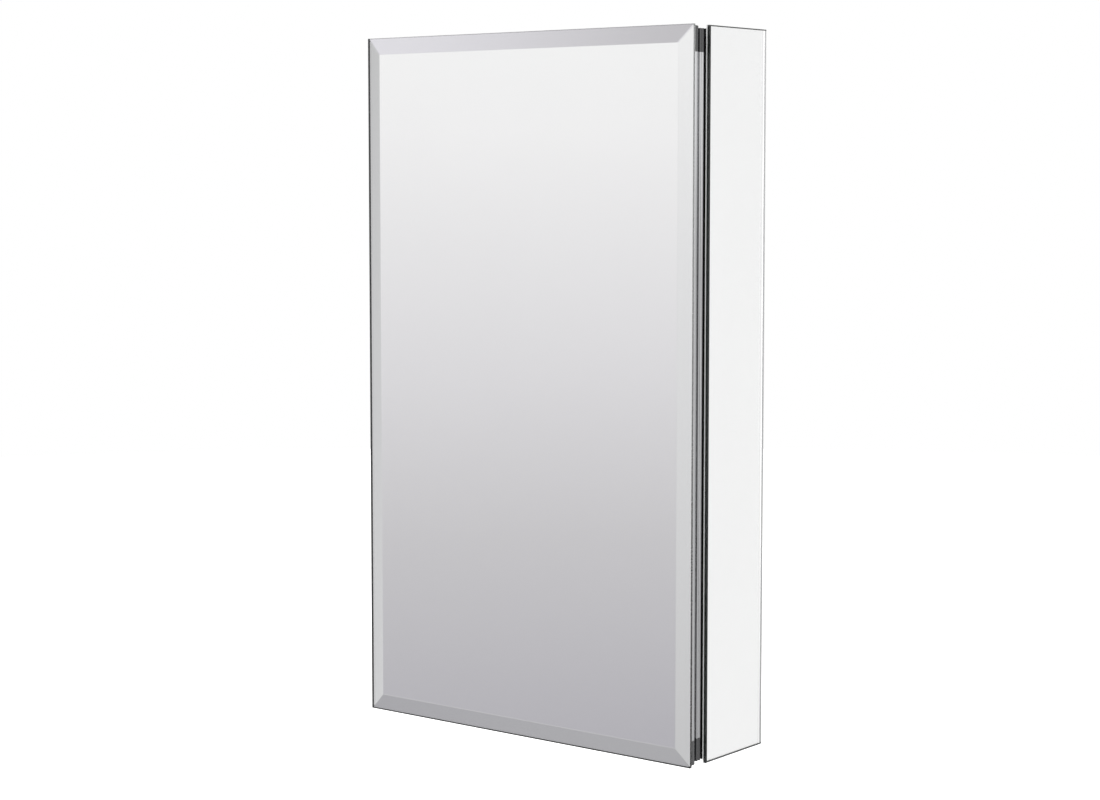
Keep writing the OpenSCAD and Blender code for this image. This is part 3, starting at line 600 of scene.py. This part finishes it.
# %% Silver sheets
SILVER_T = 0.02 * MM
SILVER_OFF = 0.015 * MM
SILVER_EDGE = 0.15 * MM
# The rims of the grommets reach 9 mm round each wall screw. The holes under them are 7 mm in
# radius, and the silver stops just short of them
GROMMET_RIM_R = 9 * MM
SILVER_HOLE_R = 7.3 * MM


def silver_finish():
    """Bright silver, with a barely uneven film."""
    material, tree, shader = new_finish("silvering", (0.90, 0.90, 0.90), Metallic=1.0)
    cloud = noise(tree, place_on_piece(tree), 9.0, 2.0)
    colour = blend_colours(tree, cloud, (0.895, 0.895, 0.895), (0.91, 0.91, 0.91))
    feed(tree, shader, Base_Color=colour, Roughness=between(tree, cloud, 0.0, 0.004))
    return material


def silver_sheet(name, glass_node, axis, back_side, body, hole=None):
    """The silver inside one glass node. back_side is 1 if its back is the high face. A hole is the
    place of one wall screw, measured from the middle, and a radius."""
    low, high = (np.array(c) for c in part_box(glass_node))
    flat = [k for k in range(3) if k != axis]
    back_face = high[axis] if back_side > 0 else low[axis]
    back = back_face - back_side * SILVER_OFF
    front = back - back_side * SILVER_T
    low, high = low[flat] + SILVER_EDGE, high[flat] - SILVER_EDGE
    if hole is None:
        middle = np.tile((low + high) / 2, (OUTLINE_POINTS, 1))
        grids = [film(middle, rectangle_outline(low, high), axis, front, back)]
    else:
        centre, radius = hole
        grids = []
        for side in ((-1, -1), (-1, 1), (1, -1), (1, 1)):
            corner = np.where(np.array(side) > 0, high, low)
            cell_low, cell_high = np.minimum(corner, 0), np.maximum(corner, 0)
            ring = circle_outline(np.array(side) * centre, radius)
            grids.append(film(ring, rectangle_outline(cell_low, cell_high), axis, front, back))
    points, faces = joined_grids(grids, wrap_rows=hole is not None)
    sheet = make_object(name, points, faces, silvering)
    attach(sheet, body)
    return sheet


silvering = silver_finish()
silver_sheet("inner_silver", "inner_mirror", 1, -1, "door")
silver_sheet("side_silver_left", "side_mirror_left", 0, 1, "cabinet")
silver_sheet("side_silver_right", "side_mirror_right", 0, -1, "cabinet")
grommets_high = np.array(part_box("wall_grommets")[1])
screw_place = grommets_high[[0, 2]] - GROMMET_RIM_R
silver_sheet("back_silver", "back_mirror", 1, 1, "cabinet",
             hole=(screw_place, SILVER_HOLE_R))
print("wall screws", np.round(2 * screw_place / MM, 1), "mm apart")

# %% [markdown]
# ## The door's silver
#
# The bevel is what makes this mirror: a sloping band, crisp as a facet, that shows another part
# of the room than the flat does. If the silver lay flat on the back of the glass, the sloping
# glass would act as a weak prism and the band would turn the view by 9 degrees only. Here the
# silver keeps the same distance below the glass's front all over, so it slopes with the bevel and
# turns the view by twice the slope, 17 degrees. The glass over it is then a clear plate of even
# thickness, which still does what glass does at an edge: it shows the dark sealed rim, wide on
# the far side and narrow below.
#
# The slope isn't typed in. It is measured on the CAD glass: the crest is where the front plane
# ends, and the rim is where the sides begin.

# %% Bevelled silver
SILVER_BELOW = 2.55 * MM
# At the bottom the silver stops further in, so that more of the dark rim shows there, and at the
# top it goes almost to the rim, which has no paint
SILVER_EDGE_BOTTOM = 0.35 * MM
SILVER_EDGE_TOP = 0.05 * MM


def vertex_places(name):
    """All the points of a CAD node, as an array."""
    mesh = nodes[name].data
    places = np.empty(len(mesh.vertices) * 3)
    mesh.vertices.foreach_get("co", places)
    return places.reshape(-1, 3)


def bevel_of(name):
    """Low and high corners of the crest and of the rim, in x and z, and then two depths in y: the
    front plane's and that of the rim's front edge."""
    places = vertex_places(name)
    low, high = places.min(axis=0), places.max(axis=0)
    crest = places[places[:, 1] < low[1] + 0.01 * MM]
    side = places[places[:, 0] > high[0] - 0.01 * MM]
    flat = [0, 2]
    return (crest.min(axis=0)[flat], crest.max(axis=0)[flat], low[flat], high[flat],
            low[1], side[:, 1].min())


def bevelled_silver(name, glass_node, body):
    """A closed film that lies SILVER_BELOW under the front of a bevelled glass.

    Rings grow from the middle to the crest, all at one depth, and on to the outer edge, where
    the depth has fallen by the slope times the distance. The same rings come back a film's
    thickness further in."""
    crest_low, crest_high, rim_low, rim_high, front, rim_front = bevel_of(glass_node)
    slope = (rim_front - front) / (rim_high[0] - crest_high[0])
    rim_low = rim_low + (SILVER_EDGE, SILVER_EDGE_BOTTOM)
    rim_high = rim_high - (SILVER_EDGE, SILVER_EDGE_TOP)
    fall = slope * (rim_high[0] - crest_high[0])
    middle = np.tile((crest_low + crest_high) / 2, (OUTLINE_POINTS, 1))
    crest = rectangle_outline(crest_low, crest_high)
    edge = rectangle_outline(rim_low, rim_high)
    rings = np.stack([middle, crest, edge, edge, crest, middle])
    depth = front + SILVER_BELOW + np.array([0, 0, fall, fall, 0, 0])
    depth[3:] += SILVER_T
    depth = np.repeat(depth, OUTLINE_POINTS).reshape(6, OUTLINE_POINTS)
    points = np.insert(rings, 1, depth, axis=-1)
    faces = grid_faces(6, OUTLINE_POINTS, wrap_columns=True)
    sheet = make_object(name, points, faces, silvering)
    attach(sheet, body)
    print(f"bevel of {math.degrees(math.atan(slope)):.2f} degrees on {glass_node}")
    return rim_front


rim_front = bevelled_silver("front_silver", "front_mirror", "door")

# %% [markdown]
# ## Sealed rims
#
# Damp creeps in behind silver from the edge, so mirror makers brush a dark sealing paint on the
# rims. From outside it hardly shows, but through the face of the glass it is the thin dark line
# round a mirror. The paint lies a hair inside the rim here, so that the glass keeps its gloss
# over it. It is a ribbon: a section with six corners carried round the sheet's own corners. The
# section follows the small arris that is ground on a rim, then the rim, and laps a little over
# the back. The ribbon leaves out one side of each sheet: the one at the wall on the side mirrors,
# where nobody paints, and the top one on the door.


# %% Edge paint
PAINT_OFF = 0.02 * MM
PAINT_T = 0.04 * MM
# Corners of a sheet, as the low (0) or high (1) end of each plane direction. The way from the
# first to the last leaves out the high side of the first direction
RIBBON_WAY = np.array([(1, 0), (0, 0), (0, 1), (1, 1)])
OPEN_AT_WALL = 0
OPEN_AT_TOP = 1


def paint_ribbon(name, glass_node, axis, front, back, body, paint, open_side, lap, arris):
    """A ribbon inside a sheet's rim between two depths along an axis.

    Its section starts an arris's width in from the front, goes out along the arris and back
    along the rim, turns in by lap at the rear, and returns a paint's thickness further in. It
    leaves out the high side of the first plane direction, or of the second, as open_side says."""
    low, high = (np.array(c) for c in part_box(glass_node))
    flat = [k for k in range(3) if k != axis]
    low, high = low[flat], high[flat]
    inner = PAINT_OFF + PAINT_T
    shoulder = front + arris * np.sign(back - front)
    section = np.array([(front, PAINT_OFF + arris), (shoulder, PAINT_OFF), (back, PAINT_OFF),
                        (back, inner + lap), (shoulder, inner), (front, inner + arris)])
    depth = np.repeat(section[:, 0], 4).reshape(6, 4)
    inset = section[:, 1:]
    way = RIBBON_WAY[:, ::-1] if open_side == OPEN_AT_TOP else RIBBON_WAY
    rings = np.where(way[None] == 1, (high - inset)[:, None], (low + inset)[:, None])
    points = np.insert(rings, axis, depth, axis=-1)
    faces = grid_faces(6, 4, wrap_rows=True)
    # Two quads close the section at each end of the way
    ends = np.array([[0, 1, 4, 5], [1, 2, 3, 4]]) * 4
    faces = np.concatenate([faces, ends, ends + 3])
    ribbon = make_object(name, points, faces, paint)
    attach(ribbon, body)
    print(f"{name}: {len(ribbon.data.polygons)} faces")


# %% [markdown]
# ## The paint's finish, and the three painted rims
#
# The paint is nearly black with a trace of green, brushed on unevenly. On the door it carries a
# painted reflection: it is coloured paler towards the top, most of all on the right side. On the
# side mirrors its front face is paler, because there it is seen through the rim's own ground glass.


# %% Painted rims
def paint_finish(name, dark, light, reflection_heights=None):
    """Sealing paint, brushed on a little unevenly. Between the two heights given, a painted
    reflection makes it paler upwards, most of all on the right rim."""
    material, tree, shader = new_finish(name, dark, Roughness=0.6)
    brushed = noise(tree, place_on_piece(tree, (120, 120, 14)), 1.0)
    colour = blend_colours(tree, brushed, dark, light)
    if reflection_heights:
        place = add_node(tree, "ShaderNodeSeparateXYZ", Vector=place_on_piece(tree)).outputs
        # Painted reflection: upwards between the two heights, and most of all on the right rim, a
        # pale colour is blended into the paint
        painted_reflection_share = between(tree, place["Z"], 0.0, 1.0, *reflection_heights)
        right = between(tree, place["X"], 0.14, 1.0, 0.15, 0.16)
        colour = blend_colours(tree, calculate(tree, "MULTIPLY", painted_reflection_share, right), colour,
                               (0.66, 0.68, 0.67))
    feed(tree, shader, Base_Color=colour)
    return material


def side_paint_finish():
    """The same paint, paler where it faces the front, because there it is seen through the
    ground rim."""
    material, tree, shader = new_finish("side_edge_paint", (0.03, 0.035, 0.033), Roughness=0.6)
    brushed = noise(tree, place_on_piece(tree, (120, 120, 14)), 1.0)
    normal = tree.nodes.new("ShaderNodeTexCoord").outputs["Normal"]
    forward = add_node(tree, "ShaderNodeSeparateXYZ", Vector=normal).outputs[1]
    faces_front = between(tree, calculate(tree, "ABSOLUTE", forward), 0.0, 1.0, 0.4, 0.9)
    back_colour = blend_colours(tree, brushed, (0.014, 0.019, 0.017), (0.03, 0.038, 0.034))
    front_colour = blend_colours(tree, brushed, (0.050, 0.060, 0.056), (0.075, 0.086, 0.080))
    feed(tree, shader, Base_Color=blend_colours(tree, faces_front, back_colour, front_colour))
    return material


DOOR_LAP = 0.4 * MM
DOOR_ARRIS = 0.01 * MM
SIDE_LAP = 0.8 * MM
SIDE_ARRIS = 0.8 * MM
SIDE_PAINT_START = 0.05 * MM
# The heights, in metres, between which the door's paint gets its pale painted reflection
PAINTED_REFLECTION_HEIGHTS = (-0.3, 0.2)

edge_paint = paint_finish("edge_paint", (0.006, 0.008, 0.007), (0.018, 0.023, 0.020), PAINTED_REFLECTION_HEIGHTS)
side_paint = side_paint_finish()
glass_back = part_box("front_mirror")[1][1]
paint_ribbon("front_edge_paint", "front_mirror", 1, rim_front + PAINT_OFF, glass_back - PAINT_OFF,
             "door", edge_paint, OPEN_AT_TOP, DOOR_LAP, DOOR_ARRIS)
for side, sign in (("left", -1), ("right", 1)):
    glass_low, glass_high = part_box(f"side_mirror_{side}")
    inner, outer = sorted((glass_low[0], glass_high[0]), key=abs)
    paint_ribbon(f"side_edge_paint_{side}", f"side_mirror_{side}", 0,
                 outer - sign * SIDE_PAINT_START, inner + sign * PAINT_OFF, "cabinet",
                 side_paint, OPEN_AT_WALL, SIDE_LAP, SIDE_ARRIS)
print("three painted rims")

# %% [markdown]
# ## Aluminium
#
# The door frame is extruded: the metal is pressed through a die, which draws fine lines along
# its whole length, and then satin anodised. The box is bent from rolled sheet, whose lines are
# fainter. Both are noise stretched up to a few hundred times further along the piece than across.
# The lines change the roughness and tilt the surface slightly, and a broad cloudy noise changes
# the colour by a few hundredths, as anodising does. The frame also gets painted shade: its bottom
# two thirds are coloured a shade darker than its top.


# %% Aluminium finishes
# Grains of noise in a metre along the lines
ALONG_LINES = 4


def drawn_metal(name, colour, along, low, high, fineness=1500, depth=1.5e-6, lower=1.0):
    """Metal with fine lines along one axis, with its roughness between low and high. Fineness is
    the grains of noise in a metre across the lines. Its bottom end gets painted shade, a colour
    darker by the given factor."""
    material, tree, shader = new_finish(name, colour, Metallic=1.0)
    stretch = [fineness] * 3
    stretch[along] = ALONG_LINES
    lines = noise(tree, place_on_piece(tree, stretch), 1.0, 4.0)
    cloud = noise(tree, place_on_piece(tree), 14.0)
    darker = tuple(0.94 * c for c in colour)
    clouded = blend_colours(tree, between(tree, cloud, 0, 1), darker, colour)
    if lower < 1:
        # Painted shade: the bottom of the piece is coloured darker than its top
        up = add_node(tree, "ShaderNodeSeparateXYZ", Vector=place_on_piece(tree)).outputs["Z"]
        shaded_colour = tuple(lower * c for c in colour)
        clouded = blend_colours(tree, between(tree, up, 0.0, 1.0, 0.1, 0.3), shaded_colour, clouded)
    feed(tree, shader,
         Base_Color=clouded,
         Roughness=between(tree, lines, low, high),
         Normal=relief(tree, lines, depth))
    return material


ANODISED = (0.62, 0.62, 0.63)
ROLLED = (0.77, 0.775, 0.78)
# Both frame finishes carry painted shade, darker towards the bottom
frame_upright = drawn_metal("frame_aluminium_upright", ANODISED, 2, 0.07, 0.13, lower=0.68)
frame_level = drawn_metal("frame_aluminium_level", ANODISED, 0, 0.07, 0.13, lower=0.68)
sheet_upright = drawn_metal("box_aluminium_upright", ROLLED, 2, 0.30, 0.42, 700)
sheet_level = drawn_metal("box_aluminium_level", ROLLED, 0, 0.30, 0.42, 700)
backing = drawn_metal("backing_aluminium", (0.72, 0.73, 0.73), 2, 0.38, 0.46, 700, 1e-6)

dress(frame_upright, "stile_hinge", "stile_latch")
dress(frame_level, "rail_top", "rail_bottom")
dress(sheet_upright, "case_side_left", "case_side_right")
dress(sheet_level, "case_top", "case_bottom")
dress(backing, "side_rail_left_front", "side_rail_left_rear", "side_rail_right_front",
      "side_rail_right_rear", "back_plate")
print(len(dressed), "nodes dressed")

# %% [markdown]
# ## Moulded plastic
#
# The corner blocks are moulded in dark grey nylon with a good gloss. A mould's surface is
# spark-eroded, which leaves a fine even grain of about 0.4 mm on the plastic. The shelf clips,
# the catch and the grommets are pale, and the catch and the grommets are duller than the clips.
# The sheets behind the side mirrors are lacquered nearly white, and their cut front edge shows as
# a light line.


# %% Plastic finishes
def moulded(name, colour, rough, grain_depth, grain=2600, **constants):
    """Plastic with a spark-eroded grain, slightly uneven in colour and gloss. Grain is the grains
    of noise in a metre."""
    material, tree, shader = new_finish(name, colour, IOR=1.5, **constants)
    grains = noise(tree, place_on_piece(tree), grain, 2.0)
    flow = noise(tree, place_on_piece(tree, (60, 60, 20)), 1.0)
    paler = tuple(min(1.0, 1.18 * c) for c in colour)
    feed(tree, shader,
         Base_Color=blend_colours(tree, flow, colour, paler),
         Roughness=between(tree, grains, rough, rough + 0.1),
         Normal=relief(tree, grains, grain_depth))
    return material


corner_plastic = moulded("corner_nylon", (0.016, 0.016, 0.018), 0.1, 1.5e-6,
                         Specular_IOR_Level=1.0)
clip_plastic = moulded("clip_plastic", (0.66, 0.68, 0.68), 0.16, 1e-6)
catch_plastic = moulded("catch_plastic", (0.70, 0.70, 0.68), 0.32, 4e-6)
dress(corner_plastic, "corner_block_top_hinge", "corner_block_top_latch",
      "corner_block_bottom_hinge", "corner_block_bottom_latch")
dress(clip_plastic, "shelf_clips_upper", "shelf_clips_middle", "shelf_clips_lower")
dress(catch_plastic, "catch_housing", "wall_grommets")
dress(moulded("sheet_lacquer", (0.92, 0.94, 0.93), 0.4, 2e-6, 900),
      "side_sheet_left", "side_sheet_right")
print(len(dressed), "nodes dressed")

# %% [markdown]
# ## Rubber, foam and steel
#
# The seal is extruded rubber with a dry bloom on it. The tape behind the inside mirror and the
# strips beside the box are foam with open cells, which a Voronoi pattern gives. The hinge is
# nickel-plated steel, brushed along its length, and the magnet is dark sintered ferrite with a
# grainy surface.


# %% Rubber, foam and steel finishes
def rubber_finish():
    """Black rubber with lines along it and a faint grey bloom."""
    material, tree, shader = new_finish("seal_rubber", (0.010, 0.010, 0.010), IOR=1.5,
                                        Specular_IOR_Level=0.2)
    lines = noise(tree, place_on_piece(tree, (1400, 1400, 40)), 1.0)
    bloom = noise(tree, place_on_piece(tree), 60.0)
    feed(tree, shader,
         Base_Color=blend_colours(tree, bloom, (0.007, 0.007, 0.007), (0.014, 0.014, 0.0145)),
         Roughness=between(tree, bloom, 0.5, 0.68), Normal=relief(tree, lines, 6e-6))
    return material


def foam_finish(name, shaded_pit_colour, palest):
    """Foam with cells about a millimetre across, each with painted shade in its hollow middle."""
    material, tree, shader = new_finish(name, palest, Roughness=0.95, Specular_IOR_Level=0.15)
    cells = add_node(tree, "ShaderNodeTexVoronoi", Vector=place_on_piece(tree), Scale=900.0)
    depth = cells.outputs["Distance"]
    # Painted shade: each cell's hollow middle is coloured darkest, and the ridges between cells
    # palest
    feed(tree, shader,
         Base_Color=blend_colours(tree, between(tree, depth, 0, 1, 0.1, 0.7), shaded_pit_colour, palest),
         Normal=relief(tree, depth, 5e-5))
    return material


def ferrite_finish():
    """Dark sintered magnet: fine grains and a dull shine."""
    material, tree, shader = new_finish("magnet_ferrite", (0.05, 0.05, 0.055))
    grains = noise(tree, place_on_piece(tree), 1800.0)
    feed(tree, shader,
         Base_Color=blend_colours(tree, grains, (0.035, 0.035, 0.04), (0.075, 0.075, 0.08)),
         Roughness=between(tree, grains, 0.4, 0.6), Normal=relief(tree, grains, 1e-5))
    return material


ZINC = (0.66, 0.67, 0.68)

nickel = drawn_metal("hinge_nickel", (0.72, 0.71, 0.68), 2, 0.18, 0.30, 1800)
zinc = drawn_metal("plated_steel", ZINC, 2, 0.22, 0.36, 900)
dress(rubber_finish(), "seal_top", "seal_bottom", "seal_latch")
dress(foam_finish("tape_foam", (0.035, 0.035, 0.037), (0.08, 0.08, 0.082)), "back_mirror_tape")
dress(foam_finish("seal_foam", (0.003, 0.003, 0.003), (0.009, 0.009, 0.009)),
      "side_seal_left", "side_seal_right")
dress(ferrite_finish(), "catch_magnet")
dress(nickel, "hinge_leaf_case", "hinge_leaf_door", "hinge_pin")
dress(zinc, "catch_poles", "catch_strike", "case_screws", "catch_screws", "strike_screws",
      "frame_screws", "back_rivets", "side_rail_rivets_left", "side_rail_rivets_right",
      "hinge_rivets_case", "hinge_rivets_door")
print("still plain:", sorted(set(nodes) - dressed))

# %% [markdown]
# ## Screws and rivets
#
# The CAD fasteners are plain cylinders and cones of the right size. Seen close, a screw is told
# by its domed head and its cross recess, and a blind rivet by its low dome, the dimple where its
# mandrel broke off, and its bulb. All of them are turned parts, so each is computed as a surface
# of revolution. The side comes from the CAD solid, so that the size stays right: these helpers
# find the separate solids of a node, and measure the corners of each from the widest part of the
# head down to the tip.


# %% Measuring the CAD fasteners
LARGEST_FASTENER = 16 * MM
# The rounded tip's length over its radius, and the power that shapes it
TIP_LENGTH = 0.4
TIP_POWER = 0.7


def solids_of(name, reach):
    """The points of each separate solid in a node, for solids smaller than reach."""
    places = vertex_places(name)
    found = []
    while len(places):
        near = np.linalg.norm(places - places[0], axis=1) < reach
        found.append(places[near])
        places = places[~near]
    return found


def corners_of(solid, axis, facing):
    """The centre line of a turned solid, and its corners as (height, radius), top first."""
    middle = (solid.min(axis=0) + solid.max(axis=0)) / 2
    across = np.delete(solid - middle, axis, axis=1)
    pairs = np.stack([solid[:, axis] * facing, np.hypot(*across.T)], axis=-1)
    return middle, np.unique(np.round(pairs, 5), axis=0)[::-1]


def side_rows(corners):
    """The side of a turned solid, from the widest edge of its head down to its tip.

    Where a step has two radii at one height, the nearer one to the last radius comes first. The
    tip is a rounded end: its height falls with 1 - sin t and its radius shrinks with a power of
    cos t."""
    rim = corners[:, 1].max()
    start = int(np.argmax(corners[:, 1] > rim - 1e-5))
    rows = [corners[start]]
    for level in np.unique(corners[start:, 0])[::-1]:
        radii = corners[corners[:, 0] == level, 1]
        order = np.argsort(np.abs(radii - rows[-1][1]))
        rows += [(level, radii[k]) for k in order[:2]]
    low, radius = rows.pop()
    t = np.linspace(0, np.pi / 2, 8)
    height = low + TIP_LENGTH * radius * (1 - np.sin(t))
    tip = np.stack([height, radius * np.cos(t) ** TIP_POWER], axis=-1)
    return np.concatenate([rows, tip])


print(len(solids_of("case_screws", LARGEST_FASTENER)), "case screws found")

# %% [markdown]
# ## Recesses
#
# A recess is a depth that is taken off the head's height, worked out for every point at once. A
# soft step makes its walls: it goes from 0 to 1 over a short way, with no sharp turn at either
# end. A cross has tapering arms, which grow shallower outwards, as a driver's tip does.

# %% Recesses
ARM_HALF_WIDTH = 0.45 * MM
ARM_EDGE = 0.12 * MM
ARM_END = 0.2 * MM
DIMPLE_EDGE = 0.15 * MM


def soft_step(value, edge):
    """0 below zero, 1 above edge, and smooth between them."""
    share = np.clip(value / edge, 0, 1)
    return share * share * (3 - 2 * share)


def cross_recess(x, y, reach, depth):
    """How far a cross recess goes down at (x, y). The lesser of |x| and |y| is the distance from
    an arm's middle line, and the greater is how far out it lies. Arms taper and grow shallower
    outwards."""
    near = np.minimum(np.abs(x), np.abs(y))
    far = np.maximum(np.abs(x), np.abs(y))
    arm = ARM_HALF_WIDTH * (1 - 0.35 * far / reach)
    inside = soft_step(arm + ARM_EDGE / 2 - near, ARM_EDGE) * soft_step(reach - far, ARM_END)
    return depth * (1 - 0.45 * np.minimum(far / reach, 1)) * inside


def mandrel_dimple(x, y, reach, depth):
    """A round hole of the given reach, with a soft edge that starts at its rim."""
    return depth * soft_step(reach - np.hypot(x, y), DIMPLE_EDGE)


print("two recesses: a cross for the screws and a dimple for the rivets")

# %% [markdown]
# ## Turned heads
#
# Only the head's top is new. Its rings follow a superellipse, flat in the middle and steep at the
# rim: the higher the power, the flatter the head. Screws stop where their torque is reached, so
# no two crosses stand at the same angle. Each group of fasteners is one piece, which stands for
# its CAD node.

# %% Turned screws and rivets
COLUMNS = 96
HEAD_RINGS = 30
SHARP_FROM = 38
# Radians from one cross to the next
CROSS_TURN = 2.4


def fastener(solid, axis, facing, power, recess, reach, depth, turned):
    """Rows x columns of points: the head's top from its middle out, then the side, to the tip.

    The top's height over the rim is the crown times the root of 1 - (r / rim) to the power, less
    the recess. Each row is a circle round the solid's middle."""
    middle, corners = corners_of(solid, axis, facing)
    side = side_rows(corners)
    rim, crown = side[0, 1], corners[0, 0] - side[0, 0]
    radius = rim * np.sin(np.linspace(0, np.pi / 2, HEAD_RINGS))[:-1]
    top = corners[0, 0] - crown * (1 - np.sqrt(1 - (radius / rim) ** power))
    radius = np.concatenate([radius, side[:, 1]])[:, None]
    height = np.concatenate([top, side[:, 0]])[:, None]
    t = np.linspace(0, 2 * np.pi, COLUMNS, endpoint=False)[None, :]
    down = recess(radius * np.cos(t), radius * np.sin(t), reach, depth)
    down[HEAD_RINGS - 1:] = 0
    points = np.empty((len(radius), COLUMNS, 3))
    first, second = [k for k in range(3) if k != axis]
    points[..., first] = middle[first] + radius * np.cos(t + turned)
    points[..., second] = middle[second] + radius * np.sin(t + turned)
    points[..., axis] = facing * (height - down)
    return points


def turned_parts(node, body, axis, facing, power, recess, reach, depth, material):
    """All the fasteners of a node as one piece, in place of the node. Heads face along the axis
    by the sign of facing. A facing of 0 means away from the cabinet's middle."""
    grids = []
    for index, solid in enumerate(solids_of(node, LARGEST_FASTENER)):
        side = facing or np.sign(solid[:, axis].mean())
        turned = CROSS_TURN * index
        grids.append(fastener(solid, axis, side, power, recess, reach, depth, turned))
    piece = make_object(f"turned_{node}", *joined_grids(grids), material, SHARP_FROM)
    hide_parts(node)
    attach(piece, body)
    print(f"{node}: {len(grids)} turned parts, {len(piece.data.polygons)} faces")


turned_steel = drawn_metal("turned_steel", ZINC, 2, 0.16, 0.26, 600, 5e-7)
# A recess, how far it reaches from the middle, its depth, and the finish
cross = (cross_recess, 1.9 * MM, 1.2 * MM, turned_steel)
small_cross = (cross_recess, 1.5 * MM, 0.7 * MM, turned_steel)
dimple = (mandrel_dimple, 0.62 * MM, 0.3 * MM, turned_steel)
turned_parts("catch_screws", "cabinet", 0, -1, 2.6, *small_cross)
turned_parts("strike_screws", "door", 1, 1, 2.6, *small_cross)
turned_parts("frame_screws", "door", 1, 1, 2.6, *small_cross)
turned_parts("hinge_rivets_case", "cabinet", 1, -1, 2.0, *dimple)
turned_parts("hinge_rivets_door", "door", 1, 1, 2.0, *dimple)
turned_parts("side_rail_rivets_left", "cabinet", 0, 1, 2.0, *dimple)
turned_parts("side_rail_rivets_right", "cabinet", 0, -1, 2.0, *dimple)
turned_parts("case_screws", "cabinet", 2, 0, 3.0, *cross)

# %% [markdown]
# ## Grommets
#
# Each wall screw goes through a white plastic grommet, which keeps the screw's head off the
# glass. It is a turned ring too: one closed outline carried round the screw's axis. The part on
# the mirror is a low rounded flange, and the part in the glass is a plain sleeve.

# %% Grommets
FLANGE_T = 1.0 * MM
FLANGE_POINTS = 26
SLEEVE_R = 6.8 * MM
BORE_R = 2.6 * MM
LARGEST_GROMMET = 20 * MM


def grommet(solid):
    """Rows x columns of points round one grommet. The flange's front is a superellipse across
    its width, and the outline goes on round the rim, along the sleeve and back up the bore."""
    low, high = solid.min(axis=0), solid.max(axis=0)
    middle = (low + high) / 2
    rim = (high[0] - low[0]) / 2
    t = np.linspace(np.pi, 0, FLANGE_POINTS)
    half = (rim - BORE_R) / 2
    radius = BORE_R + half + half * np.sign(np.cos(t)) * np.abs(np.cos(t)) ** 0.5
    depth = low[1] + 0.8 * FLANGE_T * (1 - np.abs(np.sin(t)) ** 0.5)
    radius = np.concatenate([radius, [rim, SLEEVE_R, SLEEVE_R, BORE_R]])[:, None]
    back = [low[1] + FLANGE_T, low[1] + FLANGE_T, high[1], high[1]]
    depth = np.concatenate([depth, back])[:, None]
    t = np.linspace(0, 2 * np.pi, COLUMNS, endpoint=False)[None, :]
    points = np.empty((len(radius), COLUMNS, 3))
    points[..., 0] = middle[0] + radius * np.cos(t)
    points[..., 1] = depth
    points[..., 2] = middle[2] + radius * np.sin(t)
    return points


grids = [grommet(solid) for solid in solids_of("wall_grommets", LARGEST_GROMMET)]
points, faces = joined_grids(grids, wrap_rows=True)
grommets = make_object("turned_grommets", points, faces, catch_plastic, SHARP_FROM)
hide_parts("wall_grommets")
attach(grommets, "cabinet")
print(f"{len(grids)} grommets")
